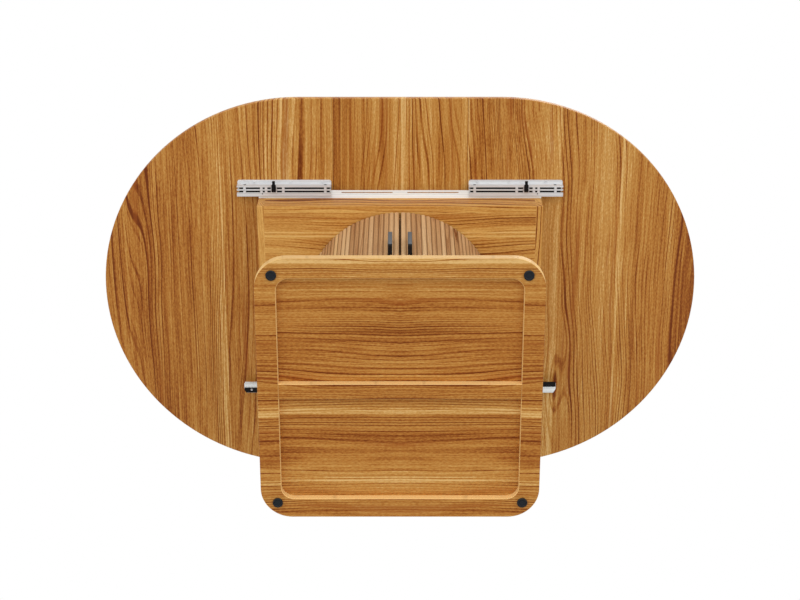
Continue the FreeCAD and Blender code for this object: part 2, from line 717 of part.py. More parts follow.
def handle_right():
    """A black D pull: a square bar with two legs."""
    legs = handle_legs()
    low = legs[0] - HANDLE_LEG / 2
    high = legs[1] + HANDLE_LEG / 2
    front = -DRUM_RADIUS - HANDLE_PROJECTION
    x0 = HANDLE_OFFSET - HANDLE_WIDTH / 2
    x1 = HANDLE_OFFSET + HANDLE_WIDTH / 2
    pull = block(x0, x1, front, handle_back(), low, high)
    corners = [e for e in pull.Edges
               if e.BoundBox.XLength > 0.9 * HANDLE_WIDTH and abs(e.BoundBox.YMin - front) < 0.01]
    pull = pull.makeFillet(min(HANDLE_CORNER, 0.45 * HANDLE_BAR), corners)
    window = block(x0, x1, front + HANDLE_BAR, handle_back(), low + HANDLE_LEG, high - HANDLE_LEG)
    holes = [screw_hole(handle_screw_seat(z), -BACK, handle_screw_length()) for z in legs]
    return cut_all(pull, [window] + holes)


def handle_screws_right():
    return [screw(handle_screw_seat(z), -BACK, handle_screw_length()) for z in handle_legs()]


def strike_right():
    """A thin steel plate on the inside of the door, facing the magnet."""
    outer = INNER_RADIUS - PRESS_GAP
    inner = INNER_RADIUS - STRIKE_THICKNESS
    low = math.degrees((DOOR_GAP / 2 + MAGNET_INSET) / INNER_RADIUS)
    high = math.degrees((DOOR_GAP / 2 + MAGNET_INSET + MAGNET_SIZE) / INNER_RADIUS)
    middle = (low + high) / 2
    outline = [
        arc(plan_point(outer, low), plan_point(outer, middle), plan_point(outer, high)),
        line(plan_point(outer, high), plan_point(inner, high)),
        arc(plan_point(inner, high), plan_point(inner, middle), plan_point(inner, low)),
        line(plan_point(inner, low), plan_point(outer, low)),
    ]
    return prism(outline, DISC_UNDERSIDE - MAGNET_HEIGHT, DISC_UNDERSIDE - STRIKE_UNDER_TOP)


def magnet_catches():
    x0 = DOOR_GAP / 2 + MAGNET_INSET
    x1 = x0 + MAGNET_SIZE
    reach = INNER_RADIUS - STRIKE_THICKNESS - STRIKE_GAP
    front = -math.sqrt(reach ** 2 - x1 ** 2)
    low = DISC_UNDERSIDE - MAGNET_HEIGHT
    return both_sides([block(x0, x1, front, front + MAGNET_DEPTH, low, DISC_UNDERSIDE)])


def shelf_pins(extra):
    made = []
    for angle in SHELF_PIN_ANGLES:
        start = plan_point(INNER_RADIUS + SHELF_PIN_IN_WALL + extra, angle, SHELF_HEIGHT - SHELF_PIN_RADIUS)
        made.append(rod(SHELF_PIN_RADIUS + extra, start, outward(angle) * -1, SHELF_PIN_LENGTH + extra))
    return made


def pedestal_shell():
    """The fixed reeded wall behind the doors, with square edges beside the door pins."""
    start = PIVOT_ANGLE + math.degrees((WALL_THICKNESS / 2 + JAMB_GAP) / PIVOT_RADIUS)
    span = 360 - 2 * start
    count = round(span / REED_PITCH)
    outline = reeds(start, count, span / count)
    end = 360 - start
    outline.append(line(plan_point(VALLEY_RADIUS, end), plan_point(INNER_RADIUS, end)))
    behind = plan_point(INNER_RADIUS, 180)
    outline.append(arc(plan_point(INNER_RADIUS, end), behind, plan_point(INNER_RADIUS, start)))
    outline.append(line(plan_point(INNER_RADIUS, start), plan_point(VALLEY_RADIUS, start)))
    return cut_all(prism(outline, BASE_TOP, BOX_BOTTOM), shelf_pins(PRESS_GAP))


def disc(radius, z0, z1):
    return rod(radius, V(0, 0, z0), UP, z1 - z0)


def floor_screw_places():
    z = BASE_TOP + DISC_THICKNESS - HEAD_HEIGHT
    return [plan_point(DRUM_RADIUS - BOLT_INSET, i * 60, z) for i in range(6)]


def floor_screw_length():
    return DISC_THICKNESS - HEAD_HEIGHT + SCREW_BITE * BASE_LAYER


def cabinet_floor():
    tools = []
    for p in floor_screw_places():
        tools.append(rod(HEAD_RADIUS + PRESS_GAP, p, UP, HEAD_HEIGHT))
        tools.append(screw_hole(p, -UP, floor_screw_length()))
    return cut_all(disc(DISC_RADIUS, BASE_TOP, BASE_TOP + DISC_THICKNESS), tools)


def cabinet_top():
    return cut_all(disc(DISC_RADIUS, DISC_UNDERSIDE, BOX_BOTTOM), bolt_holes())


# ---- base ----
def base_board():
    board = rounded_plate(BASE_SIZE, BASE_CORNER, RIM_TOP, BASE_TOP)
    board = board.makeChamfer(min(BASE_BEVEL, 0.9 * BASE_LAYER), edges_at_height(board, BASE_TOP))
    holes = [screw_hole(p, -UP, floor_screw_length()) for p in floor_screw_places()]
    return cut_all(board, holes + bush_seats(BASE_TOP, -UP))


def rim_opening():
    return BASE_SIZE - 2 * RIM_WIDTH


def base_rim():
    plate = rounded_plate(BASE_SIZE, BASE_CORNER, FOOT_HEIGHT, RIM_TOP)
    rim = plate.cut(rounded_plate(rim_opening(), RIM_INNER_CORNER, FOOT_HEIGHT, RIM_TOP))
    rim = rim.makeFillet(BASE_EDGE_RADIUS, edges_at_height(rim, FOOT_HEIGHT))
    return cut_all(rim, foot_screw_holes())


def base_rib():
    half = rim_opening() / 2
    rib = block(-half, half, -RIB_WIDTH / 2, RIB_WIDTH / 2, FOOT_HEIGHT, RIM_TOP)
    long_edges = [e for e in edges_at_height(rib, FOOT_HEIGHT) if e.Length > 1.5 * RIB_WIDTH]
    return rib.makeFillet(BASE_EDGE_RADIUS, long_edges)


def foot_places(z):
    reach = BASE_SIZE / 2 - FOOT_INSET
    return [V(x, y, z) for x in (-reach, reach) for y in (-reach, reach)]


def foot_screw_holes():
    return [screw_hole(p, UP, FOOT_SCREW_LENGTH) for p in foot_places(FOOT_SCREW_SEAT)]


def foot_pads():
    made = []
    for p in foot_places(0):
        pad = rod(FOOT_RADIUS, p, UP, FOOT_HEIGHT)
        pad = pad.makeFillet(FOOT_EDGE_RADIUS, edges_at_height(pad, 0))
        recess = rod(FOOT_RECESS_RADIUS, p, UP, FOOT_RECESS_DEPTH)
        seat = rod(HEAD_RADIUS + PRESS_GAP, p, UP, FOOT_SCREW_SEAT)
        hole = rod(SHANK_RADIUS + PRESS_GAP, p, UP, FOOT_HEIGHT)
        made.append(cut_all(pad, [recess, seat, hole]))
    return made


def foot_screws():
    return [screw(p, UP, FOOT_SCREW_LENGTH) for p in foot_places(FOOT_SCREW_SEAT)]


# ---- all the nodes ----
def table_nodes():
    nodes = {}
    nodes["base_rim"] = base_rim()
    nodes["base_rib"] = base_rib()
    nodes["base_board"] = base_board()
    nodes["foot_pads"] = foot_pads()
    nodes["foot_screws"] = foot_screws()

    nodes["cabinet_floor"] = cabinet_floor()
    nodes["cabinet_top"] = cabinet_top()
    shelf_top = SHELF_HEIGHT + SHELF_THICKNESS
    nodes["cabinet_shelf"] = disc(INNER_RADIUS - SHELF_INSET, SHELF_HEIGHT, shelf_top)
    nodes["shelf_pins"] = shelf_pins(0.0)
    nodes["floor_screws"] = [screw(p, -UP, floor_screw_length()) for p in floor_screw_places()]
    nodes["pedestal_shell"] = pedestal_shell()
    nodes["pivot_bushes"] = pivot_bushes()
    nodes["magnet_catches"] = magnet_catches()

    outside = box_outside()
    side_board = box_side_right(outside)
    front_board = box_front(outside)
    nodes["box_side_right"] = side_board
    nodes["box_side_left"] = mirror_x(side_board)
    nodes["box_front"] = front_board
    nodes["box_rear"] = mirror_y(front_board)
    nodes["box_bottom"] = box_bottom()
    nodes["box_dowels"] = dowel_rods(0.0)
    nodes["box_bolts"] = box_bolts()
    nodes["bolt_nuts"] = bolt_nuts()
    rail = rail_front()
    nodes["rail_front"] = rail
    nodes["rail_rear"] = mirror_y(rail)
    nodes["rail_screws"] = rail_screws()

    door_side = {
        "door": door_right(),
        "door_pins": door_pins_right(),
        "handle": handle_right(),
        "handle_screws": handle_screws_right(),
        "strike": strike_right(),
    }
    for name, made in door_side.items():
        pieces = made if isinstance(made, list) else [made]
        nodes[name + "_right"] = pieces
        nodes[name + "_left"] = [mirror_x(p) for p in pieces]

    slab = top_slab()
    front_runner = runner_right(False)
    rear_runner = mirror_y(runner_right(True))
    rivets = runner_rivets()
    glides = runner_glides()
    latch = latch_front_right()
    pins = front_and_rear([latch_pin()])
    for word, side in (("left", -1), ("right", 1)):
        turned = mirror_x if side < 0 else as_made
        piece, screw_place = end_block(side)
        block_screw_length = LIP_TOP - screw_place.z
        block_screw_hole = screw_hole(screw_place, UP, block_screw_length)
        nodes["top_" + word] = top_half(slab, side)
        nodes["runner_front_" + word] = turned(front_runner)
        nodes["runner_rear_" + word] = turned(rear_runner).cut(block_screw_hole)
        nodes["runner_rivets_" + word] = [turned(r) for r in rivets]
        nodes["glides_" + word] = [turned(g) for g in glides]
        nodes["latch_pins_" + word] = [turned(p) for p in pins]
        nodes["latch_front_" + word] = turned(latch)
        nodes["latch_rear_" + word] = turned(mirror_y(latch))
        nodes["end_block_" + word] = piece
        flange_screws = [screw(p, UP, flange_screw_length()) for p in flange_screw_places(side)]
        block_screw = screw(screw_place, UP, block_screw_length)
        nodes["runner_screws_" + word] = flange_screws + [block_screw]

    nodes["leaf_front"] = leaf_panel(slab, -1)
    nodes["leaf_rear"] = leaf_panel(slab, 1)
    nodes["leaf_barrels_front"] = barrels(-1, 0.0)
    nodes["leaf_barrels_rear"] = barrels(1, 0.0)
    return nodes


def write_nodes(nodes):
    os.makedirs("parts", exist_ok=True)
    for name, made in nodes.items():
        pieces = made if isinstance(made, list) else [made]
        shape = pieces[0] if len(pieces) == 1 else Part.makeCompound(pieces)
        shape.exportStep("parts/" + name + ".step")
        print(name, len(shape.Solids), round(shape.Volume))


write_nodes(table_nodes())
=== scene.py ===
import math

import bmesh
import bpy
from bpy.props import FloatProperty, FloatVectorProperty, IntProperty, PointerProperty
from mathutils import Matrix, Vector


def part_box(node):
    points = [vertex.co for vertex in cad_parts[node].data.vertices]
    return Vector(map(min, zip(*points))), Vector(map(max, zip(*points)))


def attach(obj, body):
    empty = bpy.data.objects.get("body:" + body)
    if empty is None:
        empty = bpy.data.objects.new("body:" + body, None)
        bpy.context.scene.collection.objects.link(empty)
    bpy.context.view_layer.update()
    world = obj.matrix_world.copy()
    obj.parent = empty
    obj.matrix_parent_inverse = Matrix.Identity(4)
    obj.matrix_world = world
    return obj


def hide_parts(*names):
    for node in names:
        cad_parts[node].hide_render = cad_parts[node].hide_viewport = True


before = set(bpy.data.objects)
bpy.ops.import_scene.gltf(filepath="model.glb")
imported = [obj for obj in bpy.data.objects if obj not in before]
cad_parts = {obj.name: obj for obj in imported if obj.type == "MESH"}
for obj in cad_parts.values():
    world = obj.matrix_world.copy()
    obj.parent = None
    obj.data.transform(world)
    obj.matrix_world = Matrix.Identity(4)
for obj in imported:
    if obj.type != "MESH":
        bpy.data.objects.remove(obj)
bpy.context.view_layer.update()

bl_info = {
    "name": "Butterfly Leaf Table",
    "version": (1, 0, 0),
    "blender": (4, 5, 0),
    "location": "3D View > Sidebar > Table",
    "description": "Finishes and fittings of an extending table with a folding leaf",
    "category": "Object",
}

X_AXIS = Vector((1, 0, 0))
Y_AXIS = Vector((0, 1, 0))
Z_AXIS = Vector((0, 0, 1))
SIDES = ("left", "right")
ENDS = ("front", "rear")
MM = 0.001


def srgb(red, green, blue):
    """A colour as it looks on screen, 0 to 255, in linear values."""
    shades = []
    for value in (red, green, blue):
        part = value / 255
        shades.append(part / 12.92 if part <= 0.04045 else ((part + 0.055) / 1.055) ** 2.4)
    return tuple(shades)


# ---------------- settings

def colour(name, description, *shade):
    return FloatVectorProperty(name=name, description=description, subtype="COLOR", size=3,
                               min=0.0, max=1.0, default=srgb(*shade))


def amount(name, description, value, low=0.0, high=1.0):
    return FloatProperty(name=name, description=description, default=value, min=low, max=high)


def length(name, description, value):
    return FloatProperty(name=name, description=description, default=value, min=0.0, unit="LENGTH",
                         subtype="DISTANCE", precision=4)


class WoodSettings(bpy.types.PropertyGroup):
    """Tones and sheen of the lacquered wood."""
    sap: colour("Sapwood", "Palest streaks of the veneer", 220, 179, 114)
    light: colour("Light grain", "Pale stripes of the veneer", 198, 147, 76)
    middle: colour("Middle grain", "Main tone of the veneer", 176, 116, 48)
    dark: colour("Dark grain", "Brown stripes of the veneer", 144, 80, 26)
    heart: colour("Heartwood", "Thin darkest lines of the veneer", 108, 48, 8)
    flame: colour("Flames", "Reddish flames of the veneer", 150, 78, 24)
    # A pale edge band that is partly painted light: walls of the base facing the front, the back and inwards
    # take it, the outer sides do not.
    band_and_painted_light: colour("Edge band", "Pale walls round the pockets of the base", 250, 208, 138)
    well_light: colour("Well light", "Pale stripes of the leaf well", 220, 174, 98)
    well_middle: colour("Well middle", "Main tone of the leaf well", 197, 141, 68)
    well_dark: colour("Well dark", "Brown stripes of the leaf well", 168, 105, 40)
    reed_light: colour("Reed light", "Pale stripes of the reeded doors", 220, 184, 138)
    reed_middle: colour("Reed middle", "Main tone of the reeded doors", 198, 155, 108)
    reed_dark: colour("Reed dark", "Darker stripes of the reeded doors", 170, 125, 83)
    # Painted shade: this darker colour fills the grooves between the reeds, where shade falls.
    reed_groove_shade: colour("Reed groove", "Lacquer gathered between the reeds", 118, 78, 46)
    roughness: amount("Roughness", "Roughness of the satin lacquer", 0.42)
    shine: amount("Shine", "Strength of the lacquer's reflection", 0.18)
    edge_wear: amount("Edge wear", "How much the lacquer thins along edges", 0.35)


class MetalSettings(bpy.types.PropertyGroup):
    """Colours and polish of the metal fittings."""
    aluminium: colour("Aluminium", "Satin anodised runners", 225, 227, 229)
    rail: colour("Rail", "Silver anodised rails on the well", 248, 254, 255)
    steel: colour("Steel", "Zinc plated screws", 206, 206, 210)
    brass: colour("Brass", "Barrel hinges of the leaf", 214, 172, 96)
    black: colour("Black coat", "Powder coat of the pulls", 15, 15, 16)
    # Painted reflection: the pulls' fronts take this paler colour, as if they caught the light in front.
    black_front_painted_sheen: colour("Black coat front", "Lightly polished fronts of the pulls", 92, 97, 101)
    aluminium_roughness: amount("Aluminium roughness", "Satin polish", 0.42)
    steel_roughness: amount("Steel roughness", "Plated polish", 0.28)


class PlasticSettings(bpy.types.PropertyGroup):
    """Colours and roughness of the moulded parts."""
    black: colour("Black plastic", "Levers, glides and end blocks", 9, 9, 11)
    pad_rim: colour("Pad rim", "Moulded rim of the floor pads", 31, 34, 38)
    pad_face: colour("Pad face", "Soft face of the floor pads", 26, 31, 36)
    roughness: amount("Roughness", "Moulded surface", 0.48)


class ShapeSettings(bpy.types.PropertyGroup):
    """Small sizes of the fittings that the frame leaves plain."""
    pull_bar: length("Pull bar", "Depth of a pull's front bar", 10.0 * MM)
    pull_leg: length("Pull leg", "Height of a pull's legs", 8.0 * MM)
    pull_corner: length("Pull corner", "Rounding of a pull's outer corners", 5.0 * MM)
    pull_edge: length("Pull edge", "Small rounding along a pull's edges", 1.1 * MM)
    lever_edge: length("Lever edge", "Small rounding of the latch levers", 0.8 * MM)
    lever_step: length("Lever step", "Length of a latch lever's finger tab", 11.5 * MM)
    lever_tab: amount("Lever tab", "Width of the finger tab as a share of the lever's", 0.65)
    turn_steps: IntProperty(name="Turned steps", description="Steps round a turned piece", default=48,
                            min=12, max=96)


class StageSettings(bpy.types.PropertyGroup):
    """Camera, lamps and floor."""
    lens: amount("Lens", "Focal length in millimetres on a 36 mm sensor", 76.28, 20.0, 200.0)
    ambient: amount("Ambient", "Soft light from all round", 0.60, 0.0, 2.0)
    key: amount("Key light", "Each of two broad lights from low in front", 1.0, 0.0, 10.0)
    top: amount("Top light", "Broad light from above, half as strong from behind", 1.1, 0.0, 10.0)
    floor: colour("Floor", "Pale floor", 250, 250, 249)


class TableSettings(bpy.types.PropertyGroup):
    """All settings of the table."""
    wood: PointerProperty(type=WoodSettings)
    metal: PointerProperty(type=MetalSettings)
    plastic: PointerProperty(type=PlasticSettings)
    shape: PointerProperty(type=ShapeSettings)
    stage: PointerProperty(type=StageSettings)


def settings():
    return bpy.context.scene.leaf_table


# ---------------- shader wiring

class Wiring:
    """The emptied node tree of a material or world, and short calls that wire nodes into it."""

    def __init__(self, owner):
        owner.use_nodes = True
        self.nodes = owner.node_tree.nodes
        self.links = owner.node_tree.links
        self.nodes.clear()

    def put(self, socket, value):
        """Links an output to a socket, or sets the socket's own value."""
        if isinstance(value, bpy.types.NodeSocket):
            self.links.new(value, socket)
        else:
            socket.default_value = value

    def node(self, kind, *values, **options):
        """A new node with its options set and values given to its first sockets."""
        node = self.nodes.new("ShaderNode" + kind)
        for option, value in options.items():
            setattr(node, option, value)
        for socket, value in zip(node.inputs, values):
            self.put(socket, value)
        return node

    def fill(self, node, **values):
        """Gives values to a node's sockets by name, and returns its first output."""
        for name, value in values.items():
            self.put(node.inputs[name], value)
        return node.outputs[0]

    def sum(self, operation, *values):
        """One step of arithmetic."""
        return self.node("Math", *values, operation=operation).outputs[0]

    def times(self, first, second):
        return self.sum("MULTIPLY", first, second)


class Finish(Wiring):
    """A material with a Principled shader, and short calls that make its patterns."""

    def __init__(self, name):
        self.material = bpy.data.materials.new(name)
        super().__init__(self.material)
        self.shader = self.node("BsdfPrincipled")
        self.output = self.node("OutputMaterial", self.shader.outputs[0])

    def set(self, socket, value):
        self.put(self.shader.inputs[socket], value)

    def place(self, turn=(0, 0, 0)):
        """Object coordinates, turned so that the grain runs along Y."""
        here = self.node("TexCoord").outputs["Object"]
        return self.node("Mapping", here, (0, 0, 0), turn).outputs[0]

    def arrows(self, operation, *values):
        """One step of vector arithmetic. Lengths and dot products come out as plain values."""
        node = self.node("VectorMath", *values, operation=operation)
        return node.outputs["Value" if operation in ("LENGTH", "DOT_PRODUCT") else "Vector"]

    def noise(self, vector, across, along, detail, roughness=0.5, distortion=0.0):
        """A noise with so many cycles per metre across the grain and along it."""
        node = self.node("TexNoise", self.arrows("MULTIPLY", vector, (across, along, across)))
        return self.fill(node, Scale=1.0, Detail=detail, Roughness=roughness, Distortion=distortion)

    def chance(self, number):
        """A random value of its own for each whole number."""
        return self.fill(self.node("TexWhiteNoise", noise_dimensions="1D"), W=number)

    def along(self, vector, axis):
        return self.node("SeparateXYZ", vector).outputs[axis]

    def size_along(self, vector, axis):
        return self.sum("ABSOLUTE", self.along(vector, axis))

    def vector(self, *values):
        return self.node("CombineXYZ", *values).outputs[0]

    def span(self, value, low, high, start=0.0, end=1.0):
        """Maps low..high to start..end, clamped and smooth."""
        node = self.node("MapRange", value, low, high, start, end, interpolation_type="SMOOTHSTEP")
        return node.outputs[0]

    def tones(self, value, stops):
        """A colour ramp from (position, colour) pairs."""
        node = self.node("ValToRGB", value)
        marks = node.color_ramp.elements
        while len(marks) < len(stops):
            marks.new(0.5)
        for mark, (position, shade) in zip(marks, stops):
            mark.position = position
            mark.color = (*shade, 1.0)
        return node.outputs[0]

    def blend(self, share, first, second):
        node = self.node("Mix", share, data_type="RGBA")
        for socket, value in zip(node.inputs[6:8], (first, second)):
            self.put(socket, value if isinstance(value, bpy.types.NodeSocket) else (*value, 1.0))
        return node.outputs[2]

    def bump(self, height, strength, distance):
        raised = self.fill(self.node("Bump"), Strength=strength, Distance=distance, Height=height)
        self.put(self.shader.inputs["Normal"], raised)

    def normal(self):
        """The face's direction on the piece itself, which stays the same as the piece moves."""
        facing = self.node("NewGeometry").outputs["True Normal"]
        return self.node("VectorTransform", facing, vector_type="NORMAL", convert_from="WORLD",
                         convert_to="OBJECT").outputs[0]

    def edges(self, radius):
        """1 along sharp edges, 0 on flat faces."""
        rounded = self.node("Bevel", radius, samples=4).outputs[0]
        plain = self.node("NewGeometry").outputs["Normal"]
        return self.span(self.arrows("DOT_PRODUCT", rounded, plain), *EDGE_FACING)


# ---------------- finishes

# Turns that bring the grain from each axis to Y.
GRAIN_TURN = {"Y": (0, 0, 0), "X": (0, 0, math.radians(90)), "Z": (math.radians(-90), 0, 0)}

# Noises as (cycles per metre across the grain, along it, detail, roughness, distortion).
WANDER = (2.6, 1.1, 2.0)
SWIRL = (4.2, 0.42, 1.5)
BANDS = (11.0, 0.30, 3.0, 0.6)
STRIPES = (70.0, 0.8, 2.0, 0.6)
LINES = (230.0, 1.8, 2.0, 0.7)
FIBRES = (340.0, 110.0, 2.0, 0.6)
RING_PATCHES = (9.0, 1.3, 2.0)
FLAMES = (38.0, 1.1, 1.5, 0.5, 0.4)
PORES = (1500.0, 34.0, 1.0)
POLISH = (2400.0, 30.0, 3.0, 0.6)
SMUDGES = (18.0, 14.0, 3.0)
DIE_LINES = (260.0, 0.8, 1.0, 0.4)
CLOUDS = (25.0, 25.0, 3.0)
FLOOR_CLOUDS = (1.5, 1.5, 4.0)

# Steps by which a seed shifts the figure along each axis, and where they start over, in metres.
SEED_SHIFTS = ((3.71, 5.0), (1.93, 7.0), (2.57, 3.0))
# How far the figure and its streaks wander sideways, in metres.
DRIFT = 0.06
WOBBLE = 0.010

# Growth rings: (rings per metre, swirl), the narrow ones' share, their tilt through the wood, the rise and
# fall of a line, and how their strength varies from ring to ring and from place to place.
WIDE_RINGS = (92.0, 30.0)
NARROW_RINGS = (210.0, 66.0)
NARROW_SHARE = 0.55
RING_TILT = 0.66
RING_RISE = (0.26, 0.42)
RING_FALL = (0.44, 0.76, 1.0, 0.0)
RING_CHANCE = (0.1, 0.95, 0.1, 1.0)
RING_FADING = (0.34, 0.62, 0.25, 1.0)

# The veneer's tone before its layers, what each adds (bands, stripes, lines and fibres first), and where
# its colours lie.
PLAIN_TONE = 0.68
LAYER_WEIGHTS = (1.05, 0.65, 1.15, 0.85)
RING_WEIGHT = -0.80
SAP_WEIGHT = 0.7
HEART_WEIGHT = -0.32
REED_WEIGHT = 1.2
TONE_STOPS = (0.02, 0.26, 0.50, 0.80, 1.0)
# A noise's peaks, as (none, full), and how strongly flames, the painted shade in the grooves and pores show.
PEAKS = (0.60, 0.72)
FLAME_SHARE = 0.6
GROOVE_SHADE_SHARE = 0.85
PORE_SHARE = 0.22
# A streak's soft edge as shares of its half width.
STREAK_EDGE = (1.6, 0.4)

# Worn edges: the cosine between a face and its rounded edge, as (none, full), their width on wood, metal and
# coats, and how strongly they show on the last two.
EDGE_FACING = (0.995, 0.8)
EDGE_RADIUS = 1.2 * MM
METAL_EDGE_RADIUS = 0.5 * MM
COAT_EDGE_RADIUS = 0.6 * MM
EDGE_SHARE = 0.5

# Radius to the reeds' crests, (first edge, pitch) of the reeds in degrees from the front, depths under the
# crests over which the grooves' painted shade fades in and of the outside, and a number that tells the two
# sides' reeds apart.
REED_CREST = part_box("pedestal_shell")[1].y
DOOR_REEDS = (0.4604, 3.0462)
SHELL_REEDS = (71.3002, 3.0194)
VALLEY_DEPTH = (2.5 * MM, 0.9 * MM)
OUTSIDE_DEPTH = (10.0 * MM, 8.0 * MM)
SIDE_NUMBER = 200.5

# The base's banding, a pale edge band that is partly painted light: limits of its faces' directions and of
# the depth within its rim, as (none, full).
BAND_AND_PAINTED_LIGHT_STEEP = (0.96, 0.80)
BAND_AND_PAINTED_LIGHT_ENDS = (0.10, 0.30)
BAND_AND_PAINTED_LIGHT_INWARDS = (-0.02, -0.10)
BAND_AND_PAINTED_LIGHT_RIM = (15.0 * MM, 25.0 * MM)

# The runners' slots and web holes, whose walls get painted shade: limits in millimetres as (none, full),
# across from a runner's outer edge and up from its underside, then limits of their walls' directions.
SLOTS_ACROSS = ((-32.8, -31.8), (-14.1, -14.3))
SLOTS_UP = (3.4, 3.1)
HOLES_ACROSS = ((-13.9, -13.7), (-11.1, -11.3))
HOLES_UP = ((13.5, 14.5), (22.0, 21.0))
SLOT_STEEP = (0.5, 0.3)
HOLE_CEILING = (-0.2, -0.5)
SLOT_SHADE_SHARE = 0.85

# Tones of smudges, edges, the die's lines and the painted shade in the slots as shares of the metal's own.
SMUDGE_TONE = 0.75
EDGE_TONE = 1.15
DIE_TONE = 0.42
SLOT_SHADE_TONE = 0.05


def toned(shade, share):
    """A darker or lighter shade."""
    return tuple(min(1.0, share * c) for c in shade)


def streaks(finish, across, wobble, places):
    """Soft lines along the grain, given as (place, half width, strength) across it."""
    total = None
    moved = finish.sum("ADD", across, wobble)
    for place, half_width, strength in places:
        away = finish.sum("ABSOLUTE", finish.sum("SUBTRACT", moved, place))
        line = finish.span(away, *(half_width * share for share in STREAK_EDGE), 0.0, strength)
        total = line if total is None else finish.sum("MAXIMUM", total, line)
    return total


def growth_rings(finish, warped, per_metre, swirls):
    """Thin latewood lines of uneven strength, mostly straight, here and there closing into flames."""
    swirl = finish.times(finish.noise(warped, *SWIRL), swirls)
    tilt = finish.sum("MULTIPLY_ADD", finish.along(warped, 2), RING_TILT * per_metre, swirl)
    phase = finish.sum("MULTIPLY_ADD", finish.along(warped, 0), per_metre, tilt)
    part = finish.sum("FRACT", phase)
    line = finish.times(finish.span(part, *RING_RISE), finish.span(part, *RING_FALL))
    strength = finish.span(finish.chance(finish.sum("FLOOR", phase)), *RING_CHANCE)
    return finish.times(line, strength)


def wood_finish(name, grain, seed, tones, contrast, sap=(), heart=(), booked=False, reeds=None, band_and_painted_light=0.0):
    """Lacquered veneer: broad bands, growth rings, flames, fine lines and pores along the grain."""
    wood = settings().wood
    finish = Finish(name)
    plain = finish.place(GRAIN_TURN[grain])
    if booked:
        plain = finish.vector(finish.along(plain, 0), finish.size_along(plain, 1), 0.0)
    here = finish.arrows("ADD", plain, tuple(seed * step % over for step, over in SEED_SHIFTS))
    wander = finish.sum("SUBTRACT", finish.noise(here, *WANDER), 0.5)
    drift = finish.times(wander, DRIFT)
    warped = finish.arrows("ADD", here, finish.vector(drift, 0.0, drift))
    stripes = finish.noise(warped, *STRIPES)
    lines = finish.noise(warped, *LINES)
    layers = (finish.noise(warped, *BANDS), stripes, lines, finish.noise(here, *FIBRES))
    mixed = PLAIN_TONE
    for layer, weight in zip(layers, LAYER_WEIGHTS):
        mixed = finish.sum("MULTIPLY_ADD", finish.sum("SUBTRACT", layer, 0.5), weight, mixed)
    wide = growth_rings(finish, warped, *WIDE_RINGS)
    narrow = growth_rings(finish, warped, *NARROW_RINGS)
    strength = finish.span(finish.noise(here, *RING_PATCHES), *RING_FADING)
    rings = finish.times(finish.sum("MULTIPLY_ADD", narrow, NARROW_SHARE, wide), strength)
    mixed = finish.sum("MULTIPLY_ADD", rings, RING_WEIGHT, mixed)
    wobble = finish.times(wander, WOBBLE)
    across = finish.along(plain, 0)
    for places, weight in ((sap, SAP_WEIGHT), (heart, HEART_WEIGHT)):
        if places:
            mixed = finish.sum("MULTIPLY_ADD", streaks(finish, across, wobble, places), weight, mixed)
    if reeds:
        mixed = finish.sum("ADD", mixed, reed_shade(finish, reeds))
    level = finish.sum("MULTIPLY_ADD", finish.sum("SUBTRACT", mixed, 0.5), contrast, 0.5)
    light, middle, dark = tones
    shades = (wood.heart, dark, middle, light, wood.sap)
    tone = finish.tones(level, list(zip(TONE_STOPS, shades)))
    flames = finish.span(finish.noise(warped, *FLAMES), *PEAKS)
    tone = finish.blend(finish.times(flames, FLAME_SHARE * contrast), tone, wood.flame)
    # Painted shade in the grooves between the reeds.
    if reeds:
        tone = finish.blend(painted_groove_shade(finish), tone, wood.reed_groove_shade)
    # Pale banding on the base, partly painted light on walls facing the front, the back and inwards.
    if band_and_painted_light:
        faces, inside = band_and_painted_light_faces(finish)
        pale = finish.blend(inside, wood.sap, wood.band_and_painted_light)
        tone = finish.blend(finish.times(faces, band_and_painted_light), tone, pale)
    pores = finish.span(finish.noise(here, *PORES), *PEAKS)
    tone = finish.blend(finish.times(pores, PORE_SHARE), tone, wood.heart)
    worn = finish.times(finish.edges(EDGE_RADIUS), wood.edge_wear)
    tone = finish.blend(worn, tone, wood.sap)
    finish.set("Base Color", tone)
    finish.set("Specular IOR Level", wood.shine)
    finish.set("Roughness", finish.sum("MULTIPLY_ADD", stripes, 0.16, wood.roughness - 0.08))
    height = finish.sum("MULTIPLY_ADD", pores, -0.7, finish.times(lines, 0.5))
    finish.bump(height, 0.35, 0.15 * MM)
    return finish.material


def band_and_painted_light_faces(finish):
    """Shares: 1 on the base's pale banding (front, rear, pocket walls), which is partly painted light, and 1
    within the base's rim.
    """
    normal = finish.normal()
    here = finish.place()
    steep = finish.span(finish.size_along(normal, 2), *BAND_AND_PAINTED_LIGHT_STEEP)
    ends = finish.span(finish.size_along(normal, 1), *BAND_AND_PAINTED_LIGHT_ENDS)
    inwards = finish.times(finish.along(normal, 0), finish.along(here, 0))
    sides = finish.span(inwards, *BAND_AND_PAINTED_LIGHT_INWARDS)
    faces = finish.times(steep, finish.sum("MAXIMUM", ends, sides))
    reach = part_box("base_rim")[1].y
    return faces, finish.span(finish.size_along(here, 1), *(reach - depth for depth in BAND_AND_PAINTED_LIGHT_RIM))


def drum_radius(finish):
    """Distance from the drum's axis."""
    here = finish.place()
    return finish.arrows("LENGTH", finish.vector(finish.along(here, 0), finish.along(here, 1), 0.0))


def outer_face(finish):
    """1 on the drum's reeded outside, 0 inside it."""
    return finish.span(drum_radius(finish), *(REED_CREST - depth for depth in OUTSIDE_DEPTH))


